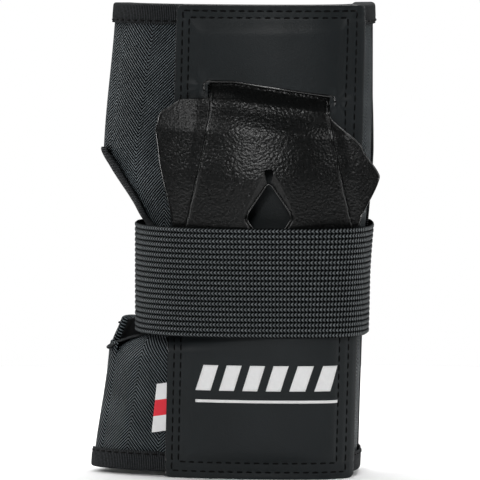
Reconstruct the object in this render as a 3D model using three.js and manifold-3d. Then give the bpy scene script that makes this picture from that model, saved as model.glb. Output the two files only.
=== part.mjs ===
// Wrist guard for the left hand, for board and inline sports: a padded wrap with a
// moulded palm splint, a wide elastic wrist strap and two hook-and-loop flaps.
// Millimetres, +Z towards the fingers, palm towards -Y, thumb side towards -X.

import * as THREE from 'three';
import { mergeVertices } from 'three/addons/utils/BufferGeometryUtils.js';
import Module from 'manifold-3d';

const wasm = await Module();
wasm.setup();

// ---- driving dimensions ----

// Heights of the wrap
const GUARD_HEIGHT = 213.6;   // leather panel, cuff to finger end
const RIM_INSET = 4.2;        // raw fabric edge above the leather's lower end
const RIM_TOP_INSET = 1.8;    // raw fabric edge below the leather's upper end
const BACK_TOP_DROP = 10;     // how much shorter the back panel is

// The wrap in plan: centre lines and reach to each side
const FLAT_X = 22;            // where the palm is flattest
const SIDE_Y = 4;             // depth at which the wrap is widest
const THUMB_CUFF = 64;        // thumb-side reach at the cuff
const THUMB_FOREARM = 58;     // just below the strap
const THUMB_WAIST = 42.5;     // under the strap
const THUMB_HAND = 59.4;      // above the thumb opening
const THUMB_RIM = 54.6;       // at the finger end
const ULNAR_CUFF = 55;        // little-finger-side reach at the cuff
const ULNAR_WAIST = 57.4;
const ULNAR_HAND = 61.6;
const PALM_DEPTH = 38;        // from the widest line to the palm face
const BACK_DEPTH = 25;        // from the widest line to the back of the hand
const BACK_REACH = 48;        // thumb-side reach of the back panel
const BACK_WAIST = 41;

// Fabric layers
const GAP = 0.3;              // clearance between pieces that touch
const INNER_EASE = 1.2;       // looser clearance inside a folded binding
const FABRIC = 1.0;
const FOAM = 4.0;
const LINING = 0.8;
const FLAP_FOAM = 2.0;
const TAPE = 0.8;             // binding tape
const HOOK = 1.2;             // hook or loop tape
const BINDING_WIDTH = 7;
const BINDING_STOP = 0.015;   // how far short of a seam a rim binding stops, as a place

// Wrist strap
const STRAP_LOW = 64.3;
const STRAP_WIDTH = 50;
const STRAP = 2.0;
const ANCHOR_PATCH = 0.12;    // how far the patch under its fixed end reaches in, as a place
const ANCHOR_LIP = 0.02;      // and how far it shows beyond that end
const STRAP_SLACK = 1.9;      // how far its lower edge stands off the leather
const STRAP_THUMB = 44.4;     // thumb-side reach of its inner face

// Leather splint pocket on the palm
const LEATHER = 1.3;
const LEATHER_EDGE_LIFT = 1.6;
const LEATHER_LIFT = 3.1;
const LEATHER_THUMB_TOP = -25.2;
const LEATHER_THUMB_LOW = -30.7;
const LEATHER_ULNAR_TOP = 55.8;
const LEATHER_ULNAR_LOW = 50.4;
const SLIT_TOP = 179.5;
const SLIT_LOW = 84;
const SLIT_HEIGHT = 17;
const SLIT_LEAN = 6.8;        // how much lower the slit is on the little-finger side
const SLIT_KNEE = 0.55;       // where the lean starts, as a share of its half width

// Palm splint
const SPLINT_X = 14.5;
const SPLINT = 2.6;
const TONGUE = 2.1;
const TONGUE_HALF = 22.5;
const TONGUE_ROOT = 24.5;     // half width of the lower tongue where it leaves its slit
const TONGUE_LOW = 16;
const TONGUE_TOP = 199;
const BAND_HALF = 26.8;       // half width where it comes out of the slit
const SHOULDER_RADIUS = 0.8;
const SHOULDER_Z = 172.3;     // upper edge of the wing on the thumb side
const WING_THUMB = 51.2;
const WING_ULNAR = 50;
const WING_THUMB_Z = 157;
const WING_ULNAR_Z = 136.4;
const SPLINT_RISE = 15.5;     // crown above the palm fabric
const SPLINT_DIP = 1;         // how much lower the crown is at the strap's top edge
const SPLINT_FOOT = 8.6;      // crown where it leaves the lower slit
const WING_DROP = 22;
const VENT_HALF_WIDTH = 10.7;
const VENT_HALF_HEIGHT = 16.2;
const VENT_Z = 117;
const VENT_CHAMFER = 4.6;
const VENT_CHAMFER_DEPTH = 2.4;

// Back splint and its cover
const STAY = 2.1;
const COVER_X = [0, 40];
const STAY_X = [9, 31];
const STAY_Z = [12, 182];

// Thumb opening
const NOTCH_LOW = 60;
const NOTCH_TOP = 147;
const NOTCH_DEPTH = 14;       // how far the opening cuts in towards the palm
const BACK_NOTCH_DEPTH = 15;  // and into the back panel

// Flaps and tail
const FLAP_END_X = -6;
const HAND_FLAP_TAPER = 10;
const FOREARM_FLAP_TAPER = 7;
const FIELD_X = [-31, -8];
const TAIL_START = -1.12;     // where the tail leaves the fixed part of the strap

// Small pieces
const LABEL_Z = [20.5, 42.3];
const LABEL_OUT = 7.5;
const LABEL_UNDER = 5;

// ---- small helpers ----

const RIM_LOW = RIM_INSET;
const RIM_TOP = GUARD_HEIGHT - RIM_TOP_INSET;
const BACK_TOP = RIM_TOP - BACK_TOP_DROP;
const STRAP_TOP = STRAP_LOW + STRAP_WIDTH;
const PAD = FABRIC + FOAM + LINING + 2 * GAP;
const FLAP_PAD = FABRIC + FLAP_FOAM + LINING + 2 * GAP;

const lerp = THREE.MathUtils.lerp;
const clamp = THREE.MathUtils.clamp;
const smoothstep = THREE.MathUtils.smoothstep;

// Shares from 0 to 1 in even steps.
const evenly = (count) => Array.from({ length: count + 1 }, (_, i) => i / count);

// Heights from one key height to the next in steps no longer than step.
function heights(keys, step) {
  const list = [keys[0]];
  for (let i = 1; i < keys.length; i += 1) {
    const count = Math.ceil((keys[i] - keys[i - 1]) / step);
    for (let j = 1; j <= count; j += 1) list.push(lerp(keys[i - 1], keys[i], j / count));
  }
  return list;
}

const sharesOf = (list) => list.map((z) => (z - list[0]) / (list[list.length - 1] - list[0]));

// A smooth line through points given as [height, value].
function profile(points) {
  return (z) => {
    const last = points.length - 1;
    const at = clamp(z, points[0][0], points[last][0]);
    let i = 0;
    while (i < last - 1 && points[i + 1][0] < at) i += 1;
    const share = smoothstep(at, points[i][0], points[i + 1][0]);
    const line = (at - points[i][0]) / (points[i + 1][0] - points[i][0]);
    return lerp(points[i][1], points[i + 1][1], (share + line) / 2);
  };
}

// ---- the wrap in plan ----
// A form is a closed rounded section whose reach in four directions changes with height.
// A place on it is given by w: 0 on the palm, 1 at the little-finger side, 2 on the back,
// -1 at the thumb side, with even steps of cloth between.

const thumbReach = profile([
  [0, THUMB_CUFF],
  [NOTCH_LOW - 3, THUMB_FOREARM],
  [STRAP_LOW, THUMB_WAIST],
  [STRAP_TOP, THUMB_WAIST],
  [NOTCH_TOP, THUMB_HAND],
  [GUARD_HEIGHT, THUMB_RIM],
]);

const ulnarReach = profile([
  [0, ULNAR_CUFF],
  [STRAP_LOW + STRAP_WIDTH / 2, ULNAR_WAIST],
  [NOTCH_TOP, ULNAR_HAND],
  [GUARD_HEIGHT, ULNAR_HAND],
]);

const PALM_FORM = {
  thumb: thumbReach,
  ulnar: ulnarReach,
  palm: () => PALM_DEPTH,
  back: () => BACK_DEPTH,
  bend: { palmThumb: 1.65, palmUlnar: 3.2, backThumb: 2.6, backUlnar: 3.0 },
};

const backReach = profile([
  [0, BACK_REACH],
  [STRAP_LOW - 12, BACK_REACH],
  [STRAP_LOW, BACK_WAIST],
  [STRAP_TOP, BACK_WAIST],
  [NOTCH_TOP, BACK_REACH],
  [GUARD_HEIGHT, BACK_REACH - (THUMB_HAND - THUMB_RIM)],
]);

const BACK_FORM = { ...PALM_FORM, thumb: backReach };

const FLAP_BACK = BACK_DEPTH + FLAP_PAD + 2 * HOOK + 3 * GAP;
const FLAP_FORM = { ...PALM_FORM, back: () => FLAP_BACK };

// The strap's inner face over the palm fabric: on the leather below, on the splint above.
const STRAP_RISE_LOW = LEATHER_EDGE_LIFT + LEATHER + STRAP_SLACK + GAP;
const STRAP_RISE_TOP = SPLINT_RISE - SPLINT_DIP + 2 * GAP;

const STRAP_FORM = {
  thumb: () => STRAP_THUMB,
  ulnar: (z) => ulnarReach(z) + TAPE + 2 * GAP,
  palm: (z) => PALM_DEPTH + lerp(STRAP_RISE_LOW, STRAP_RISE_TOP, (z - STRAP_LOW) / STRAP_WIDTH),
  back: () => BACK_DEPTH + 2 * HOOK + 3 * GAP,
  bend: { palmThumb: 2.5, palmUlnar: 3.6, backThumb: 2.6, backUlnar: 3.0 },
};

const ARC_STEPS = 48;

// The quarter of a form that w falls in: its two reaches, bend and directions.
function quarter(form, w, z) {
  const turn = w > 2 ? w - 4 : w;
  const thumb = turn < 0;
  const palm = Math.abs(turn) <= 1;
  const side = thumb ? 'Thumb' : 'Ulnar';
  return {
    across: thumb ? form.thumb(z) + FLAT_X : form.ulnar(z) - FLAT_X,
    deep: palm ? form.palm(z) : form.back(z),
    bend: form.bend[(palm ? 'palm' : 'back') + side],
    signX: thumb ? -1 : 1,
    signY: palm ? -1 : 1,
    share: palm ? Math.abs(turn) : 2 - Math.abs(turn),
  };
}

function quarterPoint(q, angle, d) {
  const x = (q.across + d) * Math.sin(angle) ** (2 / q.bend);
  const y = (q.deep + d) * Math.cos(angle) ** (2 / q.bend);
  return [x, y];
}

// The angle that lies a given share of the quarter's arc from its middle line.
function angleAtShare(q, share) {
  const lengths = [0];
  let last = quarterPoint(q, 0, 0);
  for (let i = 1; i <= ARC_STEPS; i += 1) {
    const next = quarterPoint(q, (i / ARC_STEPS) * (Math.PI / 2), 0);
    lengths.push(lengths[i - 1] + Math.hypot(next[0] - last[0], next[1] - last[1]));
    last = next;
  }
  const target = clamp(share, 0, 1) * lengths[ARC_STEPS];
  let i = 1;
  while (i < ARC_STEPS && lengths[i] < target) i += 1;
  const part = (target - lengths[i - 1]) / (lengths[i] - lengths[i - 1]);
  return clamp(((i - 1 + part) / ARC_STEPS) * (Math.PI / 2), 0, Math.PI / 2);
}

// The point on a form at place w and height z, d outside its surface.
function on(form, w, z, d = 0) {
  const q = quarter(form, w, z);
  const [x, y] = quarterPoint(q, angleAtShare(q, q.share), d);
  return new THREE.Vector3(FLAT_X + q.signX * x, SIDE_Y + q.signY * y, z);
}

// The place w on the palm or the back of a form where its surface has a given x.
function placeOfX(form, x, z, back = false) {
  const sign = x < FLAT_X ? -1 : 1;
  let near = back ? 2 : 0;
  let far = 1;
  for (let i = 0; i < 30; i += 1) {
    const mid = (near + far) / 2;
    if (Math.abs(on(form, sign * mid, z).x - FLAT_X) < Math.abs(x - FLAT_X)) near = mid;
    else far = mid;
  }
  return (sign * (near + far)) / 2;
}

// ---- solids ----

// A closed solid between two patches that share a grid: inner and outer give a point for
// each u in us and v in vs.
function slab(us, vs, inner, outer) {
  const cols = us.length - 1;
  const rows = vs.length - 1;
  const positions = [];
  for (const face of [outer, inner]) {
    for (const v of vs) {
      for (const u of us) positions.push(...face(u, v).toArray());
    }
  }
  const wide = cols + 1;
  const layer = wide * (rows + 1);
  const index = [];
  const quad = (a, b, c, d) => index.push(a, b, c, a, c, d);
  for (let j = 0; j < rows; j += 1) {
    for (let i = 0; i < cols; i += 1) {
      const a = j * wide + i;
      quad(a, a + 1, a + wide + 1, a + wide);
      quad(layer + a + wide + 1, layer + a + 1, layer + a, layer + a + wide);
    }
  }
  for (let i = 0; i < cols; i += 1) {
    const top = rows * wide + i;
    quad(i + 1, i, layer + i, layer + i + 1);
    quad(top, top + 1, layer + top + 1, layer + top);
  }
  for (let j = 0; j < rows; j += 1) {
    const low = j * wide;
    const high = low + wide;
    quad(low, high, layer + high, layer + low);
    quad(high + cols, low + cols, layer + low + cols, layer + high + cols);
  }
  const geometry = new THREE.BufferGeometry();
  geometry.setAttribute('position', new THREE.Float32BufferAttribute(positions, 3));
  geometry.setIndex(index);
  return outwards(geometry);
}

// Turns a closed geometry's faces round if they point in.
function outwards(geometry) {
  const p = geometry.getAttribute('position');
  const index = geometry.getIndex().array;
  const [a, b, c] = [new THREE.Vector3(), new THREE.Vector3(), new THREE.Vector3()];
  let volume = 0;
  for (let i = 0; i < index.length; i += 3) {
    a.fromBufferAttribute(p, index[i]);
    b.fromBufferAttribute(p, index[i + 1]);
    c.fromBufferAttribute(p, index[i + 2]);
    volume += a.dot(b.cross(c));
  }
  if (volume < 0) {
    for (let i = 0; i < index.length; i += 3) {
      [index[i], index[i + 1]] = [index[i + 1], index[i]];
    }
  }
  geometry.computeVertexNormals();
  return geometry;
}

function toManifold(geometry) {
  const bare = geometry.clone();
  for (const name of Object.keys(bare.attributes)) {
    if (name !== 'position') bare.deleteAttribute(name);
  }
  const merged = mergeVertices(bare, 1e-4);
  return new wasm.Manifold(new wasm.Mesh({
    numProp: 3,
    vertProperties: new Float32Array(merged.getAttribute('position').array),
    triVerts: new Uint32Array(merged.getIndex().array),
  }));
}

function cut(geometry, cutters) {
  let solid = toManifold(geometry);
  for (const cutter of cutters) solid = solid.subtract(toManifold(cutter));
  const mesh = solid.getMesh();
  const result = new THREE.BufferGeometry();
  result.setAttribute('position', new THREE.BufferAttribute(mesh.vertProperties, 3));
  result.setIndex(new THREE.BufferAttribute(mesh.triVerts, 1));
  result.computeVertexNormals();
  return result;
}

// ---- materials ----

function finish(color, roughness, metalness = 0) {
  return new THREE.MeshStandardMaterial({ color, roughness, metalness });
}

const NYLON = finish('#1b1e20', 0.75);
const FOAM_SHEET = finish('#3b3d3f', 0.95);
const LINING_KNIT = finish('#202224', 0.95);
const PU_LEATHER = finish('#2b2e2f', 0.45);
const SPLINT_PLASTIC = finish('#1b1c1c', 0.4);
const BINDING_TAPE = finish('#141516', 0.8);
const ELASTIC = finish('#17191a', 0.85);
const LOOP_TAPE = finish('#1c1d1e', 0.98);
const HOOK_TAPE = finish('#151617', 0.7);
const LABEL_WOVEN = finish('#e8303f', 0.8);

const guard = new THREE.Group();
guard.name = 'wrist_guard';
const assembly = new THREE.Group();
guard.add(assembly);

function add(name, geometry, material) {
  const mesh = new THREE.Mesh(geometry, material);
  mesh.name = name;
  assembly.add(mesh);
  return mesh;
}

// ---- panels: pieces of cloth, foam or leather cut to an outline ----

// A panel on a form: left and right give the place w of its edges at each height, low and
// high its lower and upper edges at each share u of its width, and lift the height of its
// inner face over the form; the panel's thickness comes from there outwards.
function panel({ form, cols, rows, left, right, low, high, lift, thick }) {
  const place = (u, v, extra) => {
    const z = lerp(low(u), high(u), v);
    const w = lerp(left(z), right(z), u);
    return on(form, w, z, lift(w, z) + extra);
  };
  return slab(evenly(cols), rows, (u, v) => place(u, v, 0), (u, v) => place(u, v, thick));
}

const level = (value) => () => value;

// The three layers of a padded panel, outermost first.
function paddedLayers(prefix, outline, foam) {
  const layers = [
    ['shell_fabric', FABRIC, NYLON],
    ['foam', foam, FOAM_SHEET],
    ['lining', LINING, LINING_KNIT],
  ];
  let depth = 0;
  for (const [name, thick, material] of layers) {
    depth += thick;
    const lift = level(-depth);
    add(`${prefix}_${name}`, panel({ ...outline, lift, thick }), material);
    depth += GAP;
  }
}

// How much the thumb opening and the side gusset take from a panel at a height, 0 to 1.
function notchShare(z) {
  const low = smoothstep(z, NOTCH_LOW, STRAP_LOW + 2);
  return low * (1 - smoothstep(z, STRAP_TOP - 4, NOTCH_TOP));
}

const GUSSET_LOW = 60;
const GUSSET_TOP = 172;
const GUSSET_HALF = 0.2;      // half its width, as a share of a quarter of the wrap

function gussetShare(z) {
  const low = smoothstep(z, GUSSET_LOW, GUSSET_LOW + 20);
  return low * (1 - smoothstep(z, GUSSET_TOP - 24, GUSSET_TOP));
}

// One millimetre of cloth as a step of w, on the palm and on the back.
const PALM_STEP = 1 / 85;
const BACK_STEP = 1 / 80;

const ULNAR_SEAM = 1.12;
const SEAM_GAP = 0.006;
const GUSSET_EASE = 0.035;
const notchPlace = (z) => -1 + notchShare(z) * NOTCH_DEPTH * PALM_STEP;
const palmSeam = (z) => ULNAR_SEAM - SEAM_GAP - GUSSET_HALF * gussetShare(z);
const backSeam = (z) => ULNAR_SEAM + SEAM_GAP + GUSSET_HALF * gussetShare(z);

const palmHeights = heights(
  [
    RIM_LOW, NOTCH_LOW - 3, NOTCH_LOW, STRAP_LOW, STRAP_TOP,
    NOTCH_TOP - 18, NOTCH_TOP - 8, NOTCH_TOP - 2, RIM_TOP,
  ],
  17,
);

const palmOutline = {
  form: PALM_FORM,
  cols: 15,
  rows: sharesOf(palmHeights),
  left: notchPlace,
  right: palmSeam,
  low: level(RIM_LOW),
  high: level(RIM_TOP),
};

// The free end of the back panel, at the thumb side, cut back round the thumb.
function backEnd(z) {
  const low = smoothstep(z, STRAP_TOP, STRAP_TOP + 12);
  const cutBack = low * (1 - smoothstep(z, NOTCH_TOP - 12, NOTCH_TOP));
  return 4 + placeOfX(BACK_FORM, FIELD_X[0] - 4 + BACK_NOTCH_DEPTH * cutBack, z, true);
}

const backHeights = heights(
  [
    RIM_LOW, STRAP_LOW - 12, STRAP_LOW, STRAP_TOP, STRAP_TOP + 6, STRAP_TOP + 12,
    NOTCH_TOP - 12, NOTCH_TOP - 6, NOTCH_TOP, BACK_TOP,
  ],
  19,
);

const backOutline = {
  form: BACK_FORM,
  cols: 12,
  rows: sharesOf(backHeights),
  left: backSeam,
  right: backEnd,
  low: level(RIM_LOW),
  high: (u) => lerp(RIM_TOP, BACK_TOP, smoothstep(u, 0, 0.35)),
};

function sideGusset() {
  const edge = (sign) => (z) => ULNAR_SEAM + sign * (GUSSET_HALF * gussetShare(z) - GUSSET_EASE);
  return panel({
    form: PALM_FORM,
    cols: 4,
    rows: evenly(8),
    left: edge(-1),
    right: edge(1),
    low: level(GUSSET_LOW + 12),
    high: level(GUSSET_TOP - 12),
    lift: level(-FABRIC),
    thick: FABRIC,
  });
}

// ---- bindings: tape folded over an edge ----

// Tape folded over the edge of a padded panel. edge(u) gives the place w and height z of
// the raw edge, and inward the direction from it into the panel, as steps of w and z.
function binding(form, pad, us, edge, inward, width) {
  const inside = -pad - INNER_EASE;
  const outside = 2 * GAP;
  const fold = -INNER_EASE;
  const turns = [
    [outside, width],
    [outside, fold],
    [inside, fold],
    [inside, width],
  ];
  const outerTurns = [
    [outside + TAPE, width],
    [outside + TAPE, fold - TAPE],
    [inside - TAPE, fold - TAPE],
    [inside - TAPE, width],
  ];
  const face = (list) => (u, v) => {
    const [d, run] = list[Math.round(v * 3)];
    const { w, z } = edge(u);
    return on(form, w + inward.w * run, z + inward.z * run, d);
  };
  return slab(us, evenly(3), face(turns), face(outerTurns));
}

const UP = { w: 0, z: 1 };
const DOWN = { w: 0, z: -1 };

function palmRimBinding(z, inward) {
  const from = notchPlace(z) + BINDING_STOP;
  const edge = (u) => ({ w: lerp(from, palmSeam(z) - BINDING_STOP, u), z });
  return binding(PALM_FORM, PAD, evenly(15), edge, inward, BINDING_WIDTH);
}

function backRimBinding(height, inward) {
  const edge = (u) => {
    const z = height(u);
    return { w: lerp(backSeam(z) + BINDING_STOP, backEnd(z) - BINDING_STOP, u), z };
  };
  return binding(BACK_FORM, PAD, evenly(12), edge, inward, BINDING_WIDTH);
}

// Tape down a side edge of a panel, at the panel's own heights between its rims.
function sideBinding(form, place, list, inward) {
  const edge = (u) => {
    const z = lerp(list[0], list[list.length - 1], u);
    return { w: place(z), z };
  };
  return binding(form, PAD, sharesOf(list), edge, inward, BINDING_WIDTH / 2);
}

function backEdgeBinding() {
  const list = heights(
    [RIM_LOW + BINDING_WIDTH + 2, ...backHeights.slice(1, -1), BACK_TOP - BINDING_WIDTH - 2],
    19,
  );
  return sideBinding(BACK_FORM, backEnd, list, { w: -BACK_STEP, z: 0 });
}

function thumbNotchBinding() {
  const list = palmHeights.filter((z) => z >= NOTCH_LOW && z < NOTCH_TOP);
  return sideBinding(PALM_FORM, notchPlace, list, { w: PALM_STEP, z: 0 });
}

// ---- the leather pocket and the palm splint ----

const leatherThumb = (z) => lerp(LEATHER_THUMB_LOW, LEATHER_THUMB_TOP, z / GUARD_HEIGHT);
const leatherUlnar = (z) => lerp(LEATHER_ULNAR_LOW, LEATHER_ULNAR_TOP, z / GUARD_HEIGHT);

// A pocket panel lies flat along its stitched edges and stands off its middle.
function pocketLift(fromEdge, full) {
  return lerp(LEATHER_EDGE_LIFT, LEATHER_LIFT, smoothstep(fromEdge, full * 0.4, full));
}

function leatherLift(w, z) {
  const x = on(PALM_FORM, w, z).x;
  const sides = Math.min(x - leatherThumb(z), leatherUlnar(z) - x);
  return pocketLift(Math.min(sides, z, GUARD_HEIGHT - z), 13);
}

const splintPlace = (x, z) => placeOfX(PALM_FORM, x, z);

function slitCutter(z, lean) {
  const half = Math.max(BAND_HALF, TONGUE_ROOT) + 2 * GAP;
  const low = z - SLIT_HEIGHT;
  const outline = new THREE.Shape([
    new THREE.Vector2(SPLINT_X - half, low),
    new THREE.Vector2(SPLINT_X + half, low),
    new THREE.Vector2(SPLINT_X + half, z - lean),
    new THREE.Vector2(SPLINT_X - half * SLIT_KNEE, z),
    new THREE.Vector2(SPLINT_X - half, z),
  ]);
  const reach = PALM_DEPTH + 20;
  const geometry = new THREE.ExtrudeGeometry(outline, { depth: reach, bevelEnabled: false });
  geometry.rotateX(Math.PI / 2);
  return geometry;
}

function leatherPanel() {
  const body = panel({
    form: PALM_FORM,
    cols: 12,
    rows: sharesOf([0, 13, ...palmHeights.slice(2, -1), GUARD_HEIGHT - 13, GUARD_HEIGHT]),
    left: (z) => splintPlace(leatherThumb(z), z),
    right: (z) => splintPlace(leatherUlnar(z), z),
    low: level(0),
    high: level(GUARD_HEIGHT),
    lift: leatherLift,
    thick: LEATHER,
  });
  return cut(body, [slitCutter(SLIT_TOP, SLIT_LEAN), slitCutter(SLIT_LOW, 0)]);
}

// Height of the splint's outer face over the palm fabric along its middle line.
const TONGUE_RISE = TONGUE + 2 * GAP;
const splintCrown = profile([
  [TONGUE_LOW, TONGUE_RISE],
  [SLIT_LOW - SLIT_HEIGHT, TONGUE_RISE],
  [SLIT_LOW + 4, SPLINT_FOOT],
  [STRAP_TOP, SPLINT_RISE - SPLINT_DIP],
  [WING_ULNAR_Z, SPLINT_RISE],
  [WING_THUMB_Z, SPLINT_RISE - 2],
  [SLIT_TOP - 8, SPLINT_FOOT],
  [SLIT_TOP - 1, TONGUE_RISE],
  [TONGUE_TOP, TONGUE_RISE],
]);

// Half widths of the splint at a height: the tongues, the shoulders and the wings.
const wingThumb = profile([
  [TONGUE_LOW, TONGUE_HALF],
  [SLIT_LOW, TONGUE_ROOT],
  [STRAP_TOP, 43],
  [WING_THUMB_Z - 12, WING_THUMB - 1.5],
  [WING_THUMB_Z, WING_THUMB],
  [WING_THUMB_Z + 7, WING_THUMB - 1.5],
  [SHOULDER_Z - SHOULDER_RADIUS, 40],
  [SHOULDER_Z, BAND_HALF],
  [SLIT_TOP, BAND_HALF],
  [SLIT_TOP + 4, TONGUE_HALF],
  [TONGUE_TOP, TONGUE_HALF],
]);

const wingUlnar = profile([
  [TONGUE_LOW, TONGUE_HALF],
  [SLIT_LOW, TONGUE_ROOT],
  [STRAP_TOP, 40],
  [WING_ULNAR_Z, WING_ULNAR],
  [WING_ULNAR_Z + 13, 42],
  [SHOULDER_Z - 8, BAND_HALF],
  [SLIT_TOP, BAND_HALF],
  [SLIT_TOP + 4, TONGUE_HALF],
  [TONGUE_TOP, TONGUE_HALF],
]);

// Least rise of the splint's outer face where it lies over the leather.
const SPLINT_CLEAR = LEATHER_LIFT + LEATHER + SPLINT + 4 * GAP;

function splintPoint(u, z, sunk) {
  const across = lerp(-wingThumb(z), wingUlnar(z), u);
  const x = SPLINT_X + across;
  const lean = SLIT_LEAN * clamp((x + 1) / 40, 0, 1) * smoothstep(z, 140, 170);
  const rise = splintCrown(z + lean);
  const arch = smoothstep(rise, TONGUE_RISE, SPLINT_RISE - 4);
  const drop = WING_DROP * (Math.abs(across) / WING_THUMB) ** 2.2;
  const flat = SIDE_Y - PALM_DEPTH - rise + drop;
  const place = splintPlace(x, z);
  const laid = on(PALM_FORM, place, z, rise).y;
  const overLeather = on(PALM_FORM, place, z, Math.min(rise, SPLINT_CLEAR)).y;
  return new THREE.Vector3(x, Math.min(lerp(laid, flat, arch), overLeather) + sunk, z);
}

const shoulderHeights = [
  WING_THUMB_Z, WING_THUMB_Z + 7, SHOULDER_Z - SHOULDER_RADIUS, SHOULDER_Z, SLIT_TOP + 1,
];

function palmSplint() {
  const rows = [
    ...heights([TONGUE_LOW, NOTCH_LOW - 3, NOTCH_LOW, STRAP_LOW, SLIT_LOW - SLIT_HEIGHT], 30),
    ...heights([SLIT_LOW - SLIT_HEIGHT, SLIT_LOW + 4, WING_ULNAR_Z, WING_THUMB_Z], 9).slice(1),
    ...heights(shoulderHeights, 4).slice(1),
    SLIT_TOP + 4,
    TONGUE_TOP,
  ];
  const thick = (z) => lerp(TONGUE, SPLINT, smoothstep(splintCrown(z), TONGUE_RISE, 9));
  const body = slab(
    evenly(16),
    rows,
    (u, z) => splintPoint(u, z, thick(z)),
    (u, z) => splintPoint(u, z, 0),
  );
  return cut(body, ventCutters());
}

// The diamond vent: a straight hole and a wider chamfer at its outer face.
function ventCutters() {
  const face = SIDE_Y - PALM_DEPTH - SPLINT_RISE;
  const diamond = (outer, inner, depth, y) => {
    const cutter = new THREE.CylinderGeometry(outer, inner, depth, 4, 1);
    cutter.rotateX(Math.PI);
    cutter.scale(1, 1, VENT_HALF_HEIGHT / VENT_HALF_WIDTH);
    cutter.translate(SPLINT_X, y, VENT_Z);
    return cutter;
  };
  const wide = VENT_HALF_WIDTH + VENT_CHAMFER;
  return [
    diamond(VENT_HALF_WIDTH, VENT_HALF_WIDTH, SPLINT_RISE, face + SPLINT_RISE / 2 - SPLINT),
    diamond(VENT_HALF_WIDTH, wide, VENT_CHAMFER_DEPTH, face + VENT_CHAMFER_DEPTH / 2 - GAP),
  ];
}

// ---- the strap ----

function strapFace(form, from, to, cols, low, high, lift, thick) {
  return panel({
    form,
    cols,
    rows: evenly(3),
    left: level(from),
    right: level(to),
    low: level(low),
    high: level(high),
    lift: level(lift),
    thick,
  });
}

const strapMiddle = STRAP_LOW + STRAP_WIDTH / 2;
const TAIL_END = placeOfX(STRAP_FORM, FLAP_END_X - 6, strapMiddle, true);
const ANCHOR_END = placeOfX(STRAP_FORM, COVER_X[1] + 2, strapMiddle, true);

function strapPieces() {
  add(
    'strap_palm',
    strapFace(STRAP_FORM, TAIL_START + SEAM_GAP, ANCHOR_END, 24, STRAP_LOW, STRAP_TOP, 0, STRAP),
    ELASTIC,
  );
  add(
    'strap_anchor',
    strapFace(
      BACK_FORM, ANCHOR_END - ANCHOR_PATCH, ANCHOR_END + ANCHOR_LIP, 3,
      STRAP_LOW + 2, STRAP_TOP - 2, GAP, HOOK,
    ),
    PU_LEATHER,
  );
  add(
    'strap_tail',
    strapFace(STRAP_FORM, TAIL_END, TAIL_START - SEAM_GAP, 12, STRAP_LOW, STRAP_TOP, 0, STRAP),
    ELASTIC,
  );
  const hookTo = placeOfX(STRAP_FORM, FIELD_X[0] + 3, strapMiddle, true);
  add(
    'strap_hook_patch',
    strapFace(
      STRAP_FORM, TAIL_END + 0.01, hookTo, 6,
      STRAP_LOW + 2, STRAP_TOP - 2, -HOOK - GAP, HOOK,
    ),
    HOOK_TAPE,
  );
  const tabFrom = placeOfX(STRAP_FORM, FLAP_END_X, strapMiddle, true);
  const tabTo = placeOfX(STRAP_FORM, FLAP_END_X - 15, strapMiddle, true);
  add(
    'strap_pull_tab',
    strapFace(
      STRAP_FORM, tabFrom, tabTo, 4,
      STRAP_LOW + 3, STRAP_TOP - 3, STRAP + GAP, LEATHER,
    ),
    PU_LEATHER,
  );
}

// ---- the flaps ----

// A flap runs from the thumb side round to the back and narrows by taper at each edge.
function flap(prefix, low, high, taper) {
  const middle = (low + high) / 2;
  const end = placeOfX(FLAP_FORM, FLAP_END_X, middle, true);
  const narrow = (u) => taper * smoothstep(u, 0.15, 1);
  const outline = {
    form: FLAP_FORM,
    cols: 11,
    rows: evenly(4),
    left: level(-1 - SEAM_GAP),
    right: level(end),
    low: (u) => low + narrow(u),
    high: (u) => high - narrow(u),
  };
  paddedLayers(prefix, outline, FLAP_FOAM);
  const hookFrom = placeOfX(FLAP_FORM, FIELD_X[0] + 3, middle, true);
  const hook = {
    ...outline,
    cols: 5,
    rows: evenly(3),
    left: level(hookFrom),
    right: level(end + 0.08),
    low: level(low + taper + 3),
    high: level(high - taper - 3),
    lift: level(-FLAP_PAD - GAP - HOOK),
    thick: HOOK,
  };
  add(`${prefix}_hook_patch`, panel(hook), HOOK_TAPE);
  add(`${prefix}_binding`, flapBinding(end, outline), BINDING_TAPE);
}

function flapBinding(end, outline) {
  const edge = (u) => ({ w: end, z: lerp(outline.low(1) + 1, outline.high(1) - 1, u) });
  const inward = { w: BACK_STEP, z: 0 };
  return binding(FLAP_FORM, FLAP_PAD, evenly(4), edge, inward, BINDING_WIDTH / 2);
}

// ---- back splint, its cover and the loop fields ----

function backPatch(xFrom, xTo, low, high, lift, thick, cols, rows) {
  return panel({
    form: BACK_FORM,
    cols,
    rows,
    left: (z) => placeOfX(BACK_FORM, xFrom, z, true),
    right: (z) => placeOfX(BACK_FORM, xTo, z, true),
    low: level(low),
    high: level(high),
    lift,
    thick,
  });
}

function backSplintCover() {
  const top = BACK_TOP - BINDING_WIDTH - 1;
  const lift = (w, z) => {
    const x = on(BACK_FORM, w, z).x;
    return pocketLift(Math.min(x - COVER_X[0], COVER_X[1] - x, z, top - z), 8);
  };
  const body = (from, to) => panel({
    form: BACK_FORM,
    cols: 10,
    rows: sharesOf(heights([0, 8, top - 8, top], 20)),
    left: (z) => placeOfBack(from, z),
    right: (z) => placeOfBack(to, z),
    low: level(0),
    high: level(top),
    lift,
    thick: LEATHER,
  });
  return body(COVER_X[1], COVER_X[0]);
}

// Places on the back counted past 2, so that a piece can cross its middle line.
function placeOfBack(x, z) {
  const place = placeOfX(BACK_FORM, x, z, true);
  return place < 0 ? place + 4 : place;
}

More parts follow.
